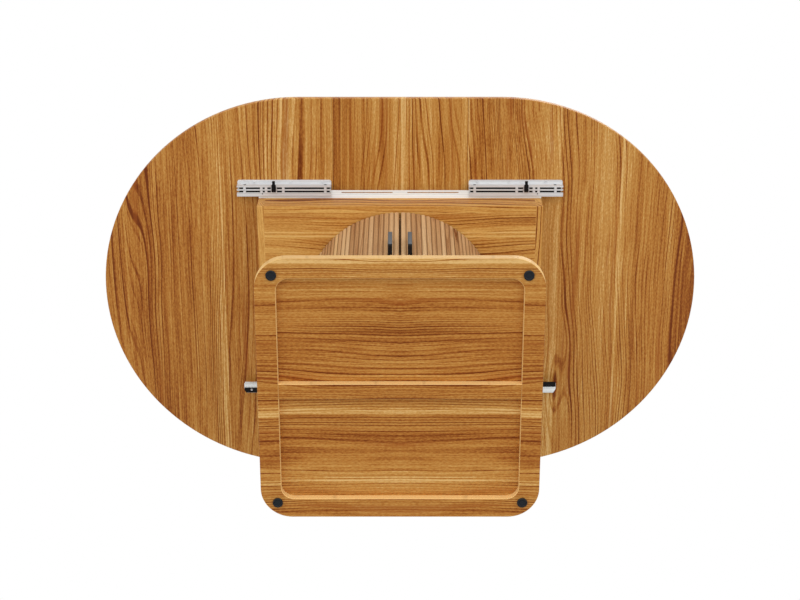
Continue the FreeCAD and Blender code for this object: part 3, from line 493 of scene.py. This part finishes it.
def painted_groove_shade(finish):
    """How strongly the painted shade in the grooves between the reeds shows."""
    deep, shallow = (REED_CREST - depth for depth in VALLEY_DEPTH)
    valleys = finish.span(drum_radius(finish), deep, shallow, 1.0, 0.0)
    return finish.times(finish.times(valleys, outer_face(finish)), GROOVE_SHADE_SHARE)


def reed_shade(finish, reeds):
    """A shade of its own for each reed; reeds is (first edge, pitch) in degrees from the front."""
    first, pitch = reeds
    here = finish.place()
    side = finish.along(here, 0)
    back = finish.along(here, 1)
    angle = finish.sum("ARCTAN2", finish.sum("ABSOLUTE", side), finish.times(back, -1.0))
    place = finish.sum("DIVIDE", finish.sum("SUBTRACT", angle, math.radians(first)), math.radians(pitch))
    number = finish.sum("MULTIPLY_ADD", finish.sum("SIGN", side), SIDE_NUMBER, finish.sum("FLOOR", place))
    shade = finish.times(finish.sum("SUBTRACT", finish.chance(number), 0.5), REED_WEIGHT)
    return finish.times(shade, outer_face(finish))


def palette(group=""):
    """The pale, main and brown tones of the top's veneer, or of another group's."""
    wood = settings().wood
    return [getattr(wood, group + tone) for tone in ("light", "middle", "dark")]


def between(finish, value, limits, start=0.0):
    """1 inside two limits, which are in millimetres past start."""
    return finish.times(*(finish.span(value, start + none * MM, start + full * MM) for none, full in limits))


def slot_wall_shade(finish):
    """Painted shade: 1 on the walls of the slots along the runners' lips and on those of the round holes in
    their webs.
    """
    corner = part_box("runner_front_left")[0]
    here = finish.place()
    across = finish.sum("ADD", finish.size_along(here, 1), corner.y)
    up = finish.along(here, 2)
    facing = finish.along(finish.normal(), 2)
    steep = finish.span(finish.sum("ABSOLUTE", facing), *SLOT_STEEP)
    low = finish.span(up, *(corner.z + limit * MM for limit in SLOTS_UP))
    slots = finish.times(finish.times(steep, low), between(finish, across, SLOTS_ACROSS))
    ceiling = finish.span(facing, *HOLE_CEILING)
    level = between(finish, up, HOLES_UP, corner.z)
    holes = finish.times(finish.times(ceiling, level), between(finish, across, HOLES_ACROSS))
    return finish.sum("MAXIMUM", slots, holes)


def metal_finish(name, shade, roughness, grain="X", brushed=1.0, metallic=1.0, slots=False, drawn=0.0):
    """Brushed or plated metal: fine lines along the grain, smudges, brighter edges, the die's lines, and
    painted shade in the runners' slots.
    """
    finish = Finish(name)
    here = finish.place(GRAIN_TURN[grain])
    lines = finish.noise(here, *POLISH)
    smudge = finish.noise(here, *SMUDGES)
    tone = finish.blend(finish.span(lines, 0.3, 0.7), toned(shade, 1.0 - 0.1 * brushed), shade)
    tone = finish.blend(finish.times(smudge, 0.10), tone, toned(shade, SMUDGE_TONE))
    worn = finish.times(finish.edges(METAL_EDGE_RADIUS), EDGE_SHARE)
    tone = finish.blend(worn, tone, toned(shade, EDGE_TONE))
    if drawn:
        die = finish.span(finish.noise(here, *DIE_LINES), 0.44, 0.62)
        tone = finish.blend(finish.times(die, drawn), tone, toned(shade, DIE_TONE))
    # Painted shade on the walls of the runners' slots and of the holes in their webs.
    if slots:
        walls = finish.times(slot_wall_shade(finish), SLOT_SHADE_SHARE)
        tone = finish.blend(walls, tone, toned(shade, SLOT_SHADE_TONE))
    finish.set("Base Color", tone)
    finish.set("Metallic", metallic)
    rough = finish.sum("MULTIPLY_ADD", smudge, 0.14, roughness - 0.07)
    finish.set("Roughness", finish.sum("MULTIPLY_ADD", lines, 0.10 * brushed, rough))
    finish.bump(lines, 0.25 * brushed, 0.02 * MM)
    return finish.material


def coat_finish(name, shade, roughness, grain_size, sheen, front=None):
    """Powder coat or moulded plastic: a fine even texture, rubbed edges and, if given, a front painted paler
    as a reflection.
    """
    finish = Finish(name)
    here = finish.place()
    grit = finish.noise(here, 1.0 / grain_size, 1.0 / grain_size, 2.0)
    paler = tuple(min(1.0, 2.4 * c + 0.006) for c in shade)
    tone = finish.blend(finish.times(finish.noise(here, *CLOUDS), 0.35), shade, paler)
    # Painted reflection: faces that point to the front take the paler front colour.
    if front:
        tone = finish.blend(finish.span(finish.along(finish.normal(), 1), -0.90, -0.98), tone, front)
    worn = finish.times(finish.edges(COAT_EDGE_RADIUS), EDGE_SHARE)
    finish.set("Base Color", finish.blend(worn, tone, paler))
    finish.set("Specular IOR Level", sheen)
    finish.set("Roughness", finish.sum("MULTIPLY_ADD", grit, 0.16, roughness - 0.08))
    finish.bump(grit, 0.3, 0.05 * MM)
    return finish.material


def shared(name, make, *values, **more):
    """The material of that name, made on its first use."""
    return bpy.data.materials.get(name) or make(name, *values, **more)


def rail_aluminium():
    metal = settings().metal
    return shared("rail_aluminium", metal_finish, metal.rail, metal.aluminium_roughness, brushed=0.3,
                  metallic=0.0, drawn=0.35)


def steel():
    metal = settings().metal
    return shared("zinc_steel", metal_finish, metal.steel, metal.steel_roughness, "Z", 0.4)


def aluminium():
    metal = settings().metal
    # slots=True gives the walls of the runners' slots and holes painted shade.
    return shared("satin_aluminium", metal_finish, metal.aluminium, metal.aluminium_roughness,
                  metallic=0.3, slots=True, drawn=0.30)


def brass():
    return shared("turned_brass", metal_finish, settings().metal.brass, 0.25, "Y", 0.5)


def powder_coat():
    metal = settings().metal
    return shared("black_powder_coat", coat_finish, metal.black, 0.5, 0.4 * MM, 0.25, metal.black_front_painted_sheen)


def black_plastic():
    plastic = settings().plastic
    return shared("moulded_plastic", coat_finish, plastic.black, plastic.roughness, 0.9 * MM, 0.15)


def dress(node, material):
    """Gives a node of the frame one finish."""
    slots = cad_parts[node].data.materials
    slots.clear()
    slots.append(material)


# ---------------- mesh making

# Points nearer than this are the same point, in metres.
SAME = 1e-6

# A screw: steps round it, head height, the shank's radius as a share of the head's, and the head's outline
# above its seat and its cross recess as shares of the head's radius and height.
SCREW_STEPS = 24
SCREW_HEAD = 2.2 * MM
SHANK_SHARE = 0.5
HEAD_OUTLINE = ((1.0, 0.0), (1.0, 0.45), (0.9, 0.78), (0.68, 0.97))
RECESS_MOUTH = (0.48, 0.2, 1.0)
RECESS_FLOOR = (0.38, 0.14, 0.35)

# A floor pad's outline from the middle of its soft face round its rim, as shares of its radius and height,
# and the share of the height within which the soft face lies.
PAD_OUTLINE = ((0.0, 0.14), (0.40, 0.15), (0.60, 0.17), (0.64, 0.06), (0.68, 0.0), (0.86, 0.0), (0.95, 0.05),
               (1.0, 0.18), (1.0, 0.62), (0.97, 0.72), (0.97, 1.0), (0.31, 1.0), (0.31, 0.25), (0.0, 0.25))
PAD_FACE_LEVEL = (0.135, 0.18)

# A latch lever's corners, and the ribs on its finger tab: their number, pitch, thickness, how far their
# middles lie under the tab, and their length as a share of half the tab's width.
LEVER_CORNER = 1.4 * MM
RIB_COUNT = 3
RIB_PITCH = 2.0 * MM
RIB_SIZE = 0.8 * MM
RIB_DROP = 0.2 * MM
RIB_LENGTH = 1.5

# Angles in degrees above which edges stay crisp, or on pulls and levers are rounded.
CRISP = 35.0
PULL_CRISP = 50.0
LEVER_SHARP = 60.0


def islands(node):
    """(low, high) corners of each separate solid of a node."""
    mesh = bmesh.new()
    mesh.from_mesh(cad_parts[node].data)
    bmesh.ops.remove_doubles(mesh, verts=mesh.verts, dist=SAME)
    left = set(mesh.verts)
    boxes = []
    while left:
        group = [left.pop()]
        for vertex in group:
            for edge in vertex.link_edges:
                other = edge.other_vert(vertex)
                if other in left:
                    left.remove(other)
                    group.append(other)
        low = Vector([min(v.co[i] for v in group) for i in range(3)])
        high = Vector([max(v.co[i] for v in group) for i in range(3)])
        boxes.append((low, high))
    mesh.free()
    return sorted(boxes, key=lambda pair: tuple(round(c, 4) for c in pair[0]))


def standing(place, direction):
    """A matrix whose Z points along direction, with its origin at place."""
    return Matrix.Translation(place) @ direction.to_track_quat("Z", "Y").to_matrix().to_4x4()


def placed(name, data):
    """A new object in the scene."""
    made = bpy.data.objects.new(name, data)
    bpy.context.scene.collection.objects.link(made)
    return made


def settle(elements, place):
    """Puts points, edges or faces in the order of their places, which is the same each run."""
    ranks = {element: rank for rank, element in enumerate(sorted(elements, key=place))}
    elements.sort(key=ranks.get)
    elements.index_update()


def settle_faces(mesh):
    """Starts each face at its first point, which is the same each run."""
    for face in list(mesh.faces):
        corners = list(face.verts)
        first = corners.index(min(corners, key=lambda v: v.index))
        look = (face.material_index, face.smooth)
        mesh.faces.remove(face)
        face = mesh.faces.new(corners[first:] + corners[:first])
        face.material_index, face.smooth = look


def solid(name, mesh, materials):
    """A new object made of a finished bmesh."""
    settle(mesh.verts, lambda v: tuple(round(c, 6) for c in v.co))
    settle(mesh.edges, lambda e: sorted(v.index for v in e.verts))
    settle(mesh.faces, lambda f: sorted(v.index for v in f.verts))
    settle_faces(mesh)
    data = bpy.data.meshes.new(name)
    mesh.to_mesh(data)
    mesh.free()
    for material in materials:
        data.materials.append(material)
    return placed(name, data)


def piece(name, mesh, materials, body, node):
    """Makes an object of a finished bmesh, riding on a body and standing for a node of the frame."""
    bmesh.ops.recalc_face_normals(mesh, faces=mesh.faces)
    made = solid(name, mesh, materials)
    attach(made, body)
    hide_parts(node)


def smooth(mesh, sharp_degrees=CRISP):
    """Smooth shading, kept crisp at edges sharper than the angle."""
    limit = math.radians(sharp_degrees)
    for face in mesh.faces:
        face.smooth = True
    for edge in mesh.edges:
        edge.smooth = len(edge.link_faces) == 2 and edge.calc_face_angle(0.0) < limit


def prism(outline, rise):
    """A flat outline pulled out along rise into a new bmesh."""
    mesh = bmesh.new()
    face = mesh.faces.new([mesh.verts.new(point) for point in outline])
    grown = bmesh.ops.extrude_face_region(mesh, geom=[face])
    moved = [v for v in grown["geom"] if isinstance(v, bmesh.types.BMVert)]
    bmesh.ops.translate(mesh, verts=moved, vec=rise)
    bmesh.ops.recalc_face_normals(mesh, faces=mesh.faces)
    return mesh


def edges_along_x(mesh, y, *heights):
    """The edges that run along X at y and at each of the heights."""
    return [e for z in heights for e in mesh.edges
            if all(abs(v.co.y - y) < SAME and abs(v.co.z - z) < SAME for v in e.verts)]


def bevel(mesh, edges, offset, segments):
    bmesh.ops.bevel(mesh, geom=edges, offset=offset, offset_type="OFFSET", affect="EDGES",
                    segments=segments, profile=0.5, material=-1, clamp_overlap=True)


def ring(mesh, radius, height, place):
    made = bmesh.ops.create_circle(mesh, segments=SCREW_STEPS, radius=radius,
                                   matrix=place @ Matrix.Translation((0, 0, height)))
    return list(dict.fromkeys(edge for vertex in made["verts"] for edge in vertex.link_edges))


def loft(mesh, rings):
    """Joins edge rings one after another."""
    for first, second in zip(rings, rings[1:]):
        bmesh.ops.bridge_loops(mesh, edges=first + second)


def turned(mesh, profile, place, steps):
    """Spins a profile of (radius, height) points about place's Z into a closed shape."""
    points = [mesh.verts.new(place @ Vector((radius, 0, height))) for radius, height in profile]
    edges = [mesh.edges.new(pair) for pair in zip(points, points[1:])]
    axis = (place.to_3x3() @ Z_AXIS).normalized()
    bmesh.ops.spin(mesh, geom=points + edges, cent=place.translation, axis=axis, angle=math.tau, steps=steps,
                   use_merge=True)
    bmesh.ops.remove_doubles(mesh, verts=mesh.verts, dist=SAME)


def cross_outline(mesh, shares, radius, height, place):
    """The edges of a plus-shaped recess, given as shares (reach, width, height) of a head."""
    reach, width, level = shares[0] * radius, shares[1] * radius, shares[2] * height
    half = width / 2
    corners = [(half, half), (half, reach), (-half, reach), (-half, half), (-reach, half), (-reach, -half),
               (-half, -half), (-half, -reach), (half, -reach), (half, -half), (reach, -half), (reach, half)]
    points = [mesh.verts.new(place @ Vector((x, y, level))) for x, y in corners]
    return [mesh.edges.new((points[i - 1], points[i])) for i in range(len(points))]


def add_screw(mesh, place, radius, shank_length):
    """A pan-head screw with a cross recess. The head rises along place's Z, the shank goes down."""
    shank_radius = SHANK_SHARE * radius
    rings = [ring(mesh, shank_radius, -shank_length, place), ring(mesh, shank_radius, 0.0, place)]
    rings += [ring(mesh, across * radius, up * SCREW_HEAD, place) for across, up in HEAD_OUTLINE]
    mouth = cross_outline(mesh, RECESS_MOUTH, radius, SCREW_HEAD, place)
    floor = cross_outline(mesh, RECESS_FLOOR, radius, SCREW_HEAD, place)
    loft(mesh, rings + [mouth])
    bmesh.ops.bridge_loops(mesh, edges=mouth + floor)
    bmesh.ops.contextual_create(mesh, geom=floor)
    bmesh.ops.contextual_create(mesh, geom=rings[0])


def screw_set(name, node, body, materials, into=None):
    """Replaces a node of screws by detailed ones that point along into, or along Y to the middle.

    Screws more than 1 mm below the node's highest take the second of two materials."""
    mesh = bmesh.new()
    boxes = islands(node)
    highest = max(low.z for low, high in boxes)
    for low, high in boxes:
        before = set(mesh.faces)
        middle = (low + high) / 2
        size = high - low
        way = into or (Y_AXIS if middle.y < 0 else -Y_AXIS)
        long = abs(size.dot(way))
        radius = (size.x + size.y + size.z - long) / 4
        seat = middle - way * (long / 2 - SCREW_HEAD)
        add_screw(mesh, standing(seat, -way), radius, long - SCREW_HEAD)
        if len(materials) > 1 and low.z < highest - MM:
            for face in set(mesh.faces) - before:
                face.material_index = 1
    smooth(mesh)
    piece(name, mesh, materials, body, node)


# ---------------- figure of the veneers

# Pale and deep streaks as (place across the grain, half width, strength).
TOP_LEFT_SAP = ((-0.349, 0.005, 0.7), (-0.549, 0.006, 0.4), (-0.538, 0.002, 0.6), (-0.385, 0.060, 0.26),
                (-0.325, 0.020, 0.34), (-0.560, 0.018, 0.15), (-0.262, 0.020, 0.12), (-0.408, 0.018, 0.50),
                (-0.455, 0.040, 0.22))
TOP_LEFT_HEART = ((-0.294, 0.005, 0.4), (-0.530, 0.003, 0.5), (-0.500, 0.020, 0.15), (-0.235, 0.006, 0.4),
                  (-0.755, 0.012, 1.0), (-0.780, 0.040, 0.95), (-0.660, 0.050, 0.60), (-0.630, 0.006, 0.8),
                  (-0.820, 0.030, 1.00), (-0.500, 0.080, 0.15), (-0.700, 0.120, 0.40), (-0.445, 0.004, 0.2),
                  (-0.605, 0.035, 0.60))
TOP_RIGHT_SAP = ((0.2035, 0.002, 0.7), (0.664, 0.004, 0.7), (0.470, 0.010, 0.50), (0.440, 0.025, 0.32),
                 (0.600, 0.040, 0.20), (0.680, 0.020, 0.20), (0.380, 0.060, 0.10))
TOP_RIGHT_HEART = ((0.4855, 0.003, 0.6), (0.576, 0.005, 0.4), (0.228, 0.030, 0.55), (0.515, 0.020, 0.20),
                   (0.717, 0.006, 0.4), (0.795, 0.035, 0.50), (0.865, 0.040, 1.00), (0.330, 0.005, 0.4))
LEAF_SAP = ((0.0065, 0.004, 0.7), (0.0145, 0.002, 0.7), (0.130, 0.003, 0.4), (-0.020, 0.020, 0.15),
            (0.090, 0.030, 0.22), (-0.070, 0.012, 0.20), (0.190, 0.010, 0.25))
LEAF_HEART = ((-0.186, 0.010, 0.8), (-0.160, 0.030, 0.60), (0.100, 0.004, 0.4), (-0.030, 0.004, 0.3),
              (-0.050, 0.006, 0.3), (-0.110, 0.006, 0.3))
WELL_SAP = ((0.2195, 0.002, 0.8), (0.2080, 0.003, 0.8))
WELL_HEART = ((0.2640, 0.005, 0.5),)
BASE_SAP = ((0.373, 0.007, 0.7), (-0.069, 0.009, 0.45), (-0.276, 0.007, 0.5))
BASE_HEART = ((0.159, 0.008, 0.8), (-0.081, 0.003, 0.8), (-0.088, 0.012, 0.4), (0.300, 0.010, 0.4),
              (0.140, 0.160, 0.50), (-0.160, 0.060, 0.25))

# How far the stripes of each veneer stand apart, and how much the base's banding, partly painted light,
# covers them.
CONTRAST = {"top": 0.82, "leaf": 0.78, "well": 0.62, "reed": 0.40, "cabinet": 0.5, "base": 0.80}
BAND_AND_PAINTED_LIGHT_SHARE = 0.85


# ---------------- operators

class TableOperator:
    """What all the table's operators share."""
    bl_options = {"REGISTER", "UNDO"}


class TABLE_OT_finish_top(TableOperator, bpy.types.Operator):
    """Veneer the two halves and the leaf, with the grain across the table"""
    bl_idname = "leaf_table.finish_top"
    bl_label = "Finish top"

    def execute(self, context):
        top, leaf = CONTRAST["top"], CONTRAST["leaf"]
        for node, seed, contrast, sap, heart in (("top_left", 1.0, top, TOP_LEFT_SAP, TOP_LEFT_HEART),
                                                 ("top_right", 2.0, top, TOP_RIGHT_SAP, TOP_RIGHT_HEART),
                                                 ("leaf_front", 3.0, leaf, LEAF_SAP, LEAF_HEART),
                                                 ("leaf_rear", 4.0, leaf, LEAF_SAP, LEAF_HEART)):
            dress(node, wood_finish("veneer_" + node, "Y", seed, palette(), contrast, sap, heart))
        return {"FINISHED"}


class TABLE_OT_finish_well(TableOperator, bpy.types.Operator):
    """Veneer the boards of the leaf well"""
    bl_idname = "leaf_table.finish_well"
    bl_label = "Finish leaf well"

    def execute(self, context):
        boards = (("box_side_left", "Y"), ("box_side_right", "Y"), ("box_front", "X"), ("box_rear", "X"),
                  ("box_bottom", "X"))
        for seed, (node, grain) in enumerate(boards):
            sap, heart = (WELL_SAP, WELL_HEART) if node == "box_bottom" else ((), ())
            dress(node, wood_finish("veneer_" + node, grain, 11.0 + seed, palette("well_"), CONTRAST["well"],
                                    sap, heart))
        dress("box_dowels", wood_finish("beech_dowels", "X", 17.0, palette("reed_"), CONTRAST["reed"]))
        return {"FINISHED"}


class TABLE_OT_finish_drum(TableOperator, bpy.types.Operator):
    """Finish the reeded doors, the fixed shell and the cabinet's inside"""
    bl_idname = "leaf_table.finish_drum"
    bl_label = "Finish drum"

    def execute(self, context):
        tones = palette("reed_")
        for seed, node in enumerate(("door_left", "door_right", "pedestal_shell")):
            reeds = SHELL_REEDS if node == "pedestal_shell" else DOOR_REEDS
            dress(node, wood_finish("reeded_" + node, "Z", 21.0 + seed, tones, CONTRAST["reed"], reeds=reeds))
        for seed, node in enumerate(("cabinet_floor", "cabinet_top", "cabinet_shelf")):
            dress(node, wood_finish("veneer_" + node, "X", 31.0 + seed, tones, CONTRAST["cabinet"]))
        return {"FINISHED"}


class TABLE_OT_finish_base(TableOperator, bpy.types.Operator):
    """Veneer the base plate, its rim and its rib"""
    bl_idname = "leaf_table.finish_base"
    bl_label = "Finish base"

    def execute(self, context):
        for node in ("base_rim", "base_rib", "base_board"):
            # The band gives the pale edge band, partly painted light on walls facing the front, the back and
            # inwards.
            dress(node, wood_finish("veneer_" + node, "X", 41.0, palette(), CONTRAST["base"], BASE_SAP,
                                    BASE_HEART, booked=True, band_and_painted_light=BAND_AND_PAINTED_LIGHT_SHARE))
        return {"FINISHED"}


class TABLE_OT_finish_slides(TableOperator, bpy.types.Operator):
    """Finish the rails, the runners and the small metal and plastic parts"""
    bl_idname = "leaf_table.finish_slides"
    bl_label = "Finish slides"

    def execute(self, context):
        for end in ENDS:
            dress("rail_" + end, rail_aluminium())
            dress("leaf_barrels_" + end, brass())
            for side in SIDES:
                dress("runner_%s_%s" % (end, side), aluminium() if end == "front" else rail_aluminium())
        for side in SIDES:
            dress("runner_rivets_" + side, aluminium())
            for part in ("glides_", "latch_pins_", "end_block_"):
                dress(part + side, black_plastic())
            for part in ("door_pins_", "strike_"):
                dress(part + side, steel())
        for node in ("shelf_pins", "box_bolts", "bolt_nuts"):
            dress(node, steel())
        for node in ("pivot_bushes", "magnet_catches"):
            dress(node, black_plastic())
        return {"FINISHED"}


class TABLE_OT_build_screws(TableOperator, bpy.types.Operator):
    """Build the screws with their cross recesses"""
    bl_idname = "leaf_table.build_screws"
    bl_label = "Build screws"

    def execute(self, context):
        screw_set("rail_screw_set", "rail_screws", "frame", [steel()])
        screw_set("foot_screw_set", "foot_screws", "frame", [steel()], Z_AXIS)
        screw_set("floor_screw_set", "floor_screws", "frame", [steel()], -Z_AXIS)
        for side in SIDES:
            block_screw = steel() if side == "left" else powder_coat()
            screw_set("runner_screw_set_" + side, "runner_screws_" + side, side + "_half",
                      [aluminium(), block_screw], Z_AXIS)
            screw_set("pull_screw_set_" + side, "handle_screws_" + side, side + "_door", [steel()], -Y_AXIS)
        return {"FINISHED"}


class TABLE_OT_build_pulls(TableOperator, bpy.types.Operator):
    """Build the two black D pulls with rounded corners and edges"""
    bl_idname = "leaf_table.build_pulls"
    bl_label = "Build pulls"

    def execute(self, context):
        shape = settings().shape
        for side in SIDES:
            node = "handle_" + side
            low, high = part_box(node)
            bar = low.y + shape.pull_bar
            outline = [(high.y, low.z), (low.y, low.z), (low.y, high.z), (high.y, high.z),
                       (high.y, high.z - shape.pull_leg), (bar, high.z - shape.pull_leg),
                       (bar, low.z + shape.pull_leg), (high.y, low.z + shape.pull_leg)]
            mesh = prism([(low.x, y, z) for y, z in outline], (high.x - low.x, 0, 0))
            bevel(mesh, edges_along_x(mesh, low.y, low.z, high.z), shape.pull_corner, 6)
            inner = edges_along_x(mesh, bar, low.z + shape.pull_leg, high.z - shape.pull_leg)
            bevel(mesh, inner, 2 * shape.pull_edge, 4)
            sharp = [e for e in mesh.edges if e.calc_face_angle(0.0) > math.radians(PULL_CRISP)
                     and max(v.co.y for v in e.verts) < high.y - 10 * SAME]
            bevel(mesh, sharp, shape.pull_edge, 3)
            smooth(mesh, PULL_CRISP)
            piece("pull_" + side, mesh, [powder_coat()], side + "_door", node)
        return {"FINISHED"}


class TABLE_OT_build_pads(TableOperator, bpy.types.Operator):
    """Turn the four floor pads, each with a soft face inside a raised rim"""
    bl_idname = "leaf_table.build_pads"
    bl_label = "Build floor pads"

    def execute(self, context):
        steps = settings().shape.turn_steps
        plastic = settings().plastic
        mesh = bmesh.new()
        for low, high in islands("foot_pads"):
            radius = (high.x - low.x) / 2
            tall = high.z - low.z
            place = Matrix.Translation(((low.x + high.x) / 2, (low.y + high.y) / 2, low.z))
            profile = [(across * radius, up * tall) for across, up in PAD_OUTLINE]
            turned(mesh, profile, place, steps)
        bmesh.ops.recalc_face_normals(mesh, faces=mesh.faces)
        lowest, highest = (level * tall for level in PAD_FACE_LEVEL)
        for face in mesh.faces:
            if face.normal.z < -0.5 and lowest < face.calc_center_median().z < highest:
                face.material_index = 1
        smooth(mesh)
        rim = shared("pad_rim", coat_finish, plastic.pad_rim, plastic.roughness, 0.9 * MM, 0.3)
        soft = shared("pad_face", coat_finish, plastic.pad_face, 0.75, 0.5 * MM, 0.3)
        piece("floor_pads", mesh, [rim, soft], "frame", "foot_pads")
        return {"FINISHED"}


class TABLE_OT_build_levers(TableOperator, bpy.types.Operator):
    """Build the four latch levers with a ribbed finger tab"""
    bl_idname = "leaf_table.build_levers"
    bl_label = "Build latch levers"

    def execute(self, context):
        shape = settings().shape
        for end in ENDS:
            for side in SIDES:
                node = "latch_%s_%s" % (end, side)
                low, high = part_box(node)
                out = -1.0 if end == "front" else 1.0
                tip = low.y if end == "front" else high.y
                back = high.y if end == "front" else low.y
                middle = (low.x + high.x) / 2
                wide = (high.x - low.x) / 2
                narrow = shape.lever_tab * wide
                step = tip - out * shape.lever_step
                outline = [(middle - wide, back), (middle + wide, back), (middle + wide, step),
                           (middle + narrow, step), (middle + narrow, tip), (middle - narrow, tip),
                           (middle - narrow, step), (middle - wide, step)]
                mesh = prism([(x, y, low.z) for x, y in outline], (0, 0, high.z - low.z))
                upright = [e for e in mesh.edges if abs(e.verts[0].co.z - e.verts[1].co.z) > 100 * SAME]
                bevel(mesh, upright, LEVER_CORNER, 4)
                flat = [e for e in mesh.edges if e.calc_face_angle(0.0) > math.radians(LEVER_SHARP)]
                bevel(mesh, flat, shape.lever_edge, 3)
                for row in range(RIB_COUNT):
                    y = step + out * (row + 1) * RIB_PITCH
                    rib = bmesh.ops.create_cube(mesh, size=1.0)["verts"]
                    bmesh.ops.scale(mesh, verts=rib, vec=(RIB_LENGTH * narrow, RIB_SIZE, RIB_SIZE))
                    bmesh.ops.translate(mesh, verts=rib, vec=(middle, y, low.z - RIB_DROP))
                smooth(mesh)
                piece("lever_%s_%s" % (end, side), mesh, [black_plastic()], node, node)
        return {"FINISHED"}


class TABLE_OT_build_stage(TableOperator, bpy.types.Operator):
    """Set up the camera low in front, the soft lamps, the world and the pale floor"""
    bl_idname = "leaf_table.build_stage"
    bl_label = "Build stage"

    def execute(self, context):
        place_camera()
        place_lamps()
        light_world()
        lay_floor()
        context.scene.view_settings.view_transform = "Standard"
        return {"FINISHED"}


CAMERA_PLACE = Vector((0.0, -1.945, -4.071))
CAMERA_FORWARD = Vector((0.0, 0.38110, 0.92453))
FLOOR_REACH = 14.0


def place_camera():
    data = bpy.data.cameras.new("camera")
    data.lens = settings().stage.lens
    camera = placed("camera", data)
    forward = CAMERA_FORWARD.normalized()
    turn = Matrix((X_AXIS, X_AXIS.cross(forward), -forward)).transposed().to_4x4()
    camera.matrix_world = Matrix.Translation(CAMERA_PLACE) @ turn
    bpy.context.scene.camera = camera


def add_lamp(name, direction, strength, spread):
    """A distant soft light that shines along direction."""
    data = bpy.data.lights.new(name, "SUN")
    data.energy = strength
    data.angle = math.radians(spread)
    placed(name, data).rotation_euler = Vector(direction).to_track_quat("-Z", "Y").to_euler()


def place_lamps():
    stage = settings().stage
    add_lamp("key_lamp_left", (0.42, 0.64, 0.64), stage.key, 60.0)
    add_lamp("key_lamp_right", (-0.42, 0.64, 0.64), stage.key, 60.0)
    add_lamp("top_lamp", (-0.35, 0.45, -0.85), stage.top, 35.0)
    add_lamp("back_lamp", (0.45, -0.8, -0.4), 0.5 * stage.top, 40.0)


def light_world():
    """Soft grey light, and plain white where a camera, mirror or glass ray looks at it."""
    world = bpy.data.worlds.new("studio")
    wiring = Wiring(world)
    rays = wiring.node("LightPath").outputs
    seen = wiring.sum("MAXIMUM", rays["Is Camera Ray"], rays["Is Glossy Ray"])
    seen = wiring.sum("MAXIMUM", seen, rays["Is Transmission Ray"])
    soft = wiring.node("Background", (1, 1, 1, 1), settings().stage.ambient).outputs[0]
    white = wiring.node("Background", (1, 1, 1, 1), 1.0).outputs[0]
    wiring.node("OutputWorld", wiring.node("MixShader", seen, soft, white).outputs[0])
    bpy.context.scene.world = world


def lay_floor():
    """A pale floor that keeps shadows, open to lamps and to a camera that look up through it."""
    mesh = bmesh.new()
    bmesh.ops.create_grid(mesh, x_segments=1, y_segments=1, size=FLOOR_REACH)
    finish = Finish("pale_floor")
    cloud = finish.noise(finish.place(), *FLOOR_CLOUDS)
    shade = settings().stage.floor
    finish.set("Base Color", finish.blend(finish.times(cloud, 0.08), shade, toned(shade, 0.9)))
    finish.set("Roughness", finish.sum("MULTIPLY_ADD", cloud, 0.2, 0.6))
    rays = finish.node("LightPath").outputs
    unseen = finish.sum("MAXIMUM", rays["Is Shadow Ray"], rays["Is Diffuse Ray"])
    unseen = finish.sum("MAXIMUM", unseen, finish.node("NewGeometry").outputs["Backfacing"])
    clear = finish.node("BsdfTransparent").outputs[0]
    mix = finish.node("MixShader", unseen, finish.shader.outputs[0], clear)
    finish.put(finish.output.inputs["Surface"], mix.outputs[0])
    solid("floor", mesh, [finish.material])


class TABLE_PT_sidebar(bpy.types.Panel):
    """Lists the table's settings and operators"""
    bl_idname = "TABLE_PT_sidebar"
    bl_label = "Butterfly Leaf Table"
    bl_space_type = "VIEW_3D"
    bl_region_type = "UI"
    bl_category = "Table"

    def draw(self, context):
        table = context.scene.leaf_table
        for group in (table.wood, table.metal, table.plastic, table.shape, table.stage):
            box = self.layout.box()
            box.label(text=group.__doc__)
            for name in group.__annotations__:
                box.prop(group, name)
        for operator in OPERATORS:
            self.layout.operator(operator.bl_idname)


GROUPS = (WoodSettings, MetalSettings, PlasticSettings, ShapeSettings, StageSettings, TableSettings)
OPERATORS = (TABLE_OT_finish_top, TABLE_OT_finish_well, TABLE_OT_finish_drum, TABLE_OT_finish_base,
             TABLE_OT_finish_slides, TABLE_OT_build_screws, TABLE_OT_build_pulls, TABLE_OT_build_pads,
             TABLE_OT_build_levers, TABLE_OT_build_stage)


def register():
    for kind in GROUPS + OPERATORS + (TABLE_PT_sidebar,):
        bpy.utils.register_class(kind)
    bpy.types.Scene.leaf_table = PointerProperty(type=TableSettings)


def unregister():
    del bpy.types.Scene.leaf_table
    for kind in reversed(GROUPS + OPERATORS + (TABLE_PT_sidebar,)):
        bpy.utils.unregister_class(kind)


def main():
    register()
    bpy.ops.leaf_table.finish_top()
    bpy.ops.leaf_table.finish_well()
    bpy.ops.leaf_table.finish_drum()
    bpy.ops.leaf_table.finish_base()
    bpy.ops.leaf_table.finish_slides()
    bpy.ops.leaf_table.build_screws()
    bpy.ops.leaf_table.build_pulls()
    bpy.ops.leaf_table.build_pads()
    bpy.ops.leaf_table.build_levers()
    bpy.ops.leaf_table.build_stage()


if __name__ == "__main__":
    main()
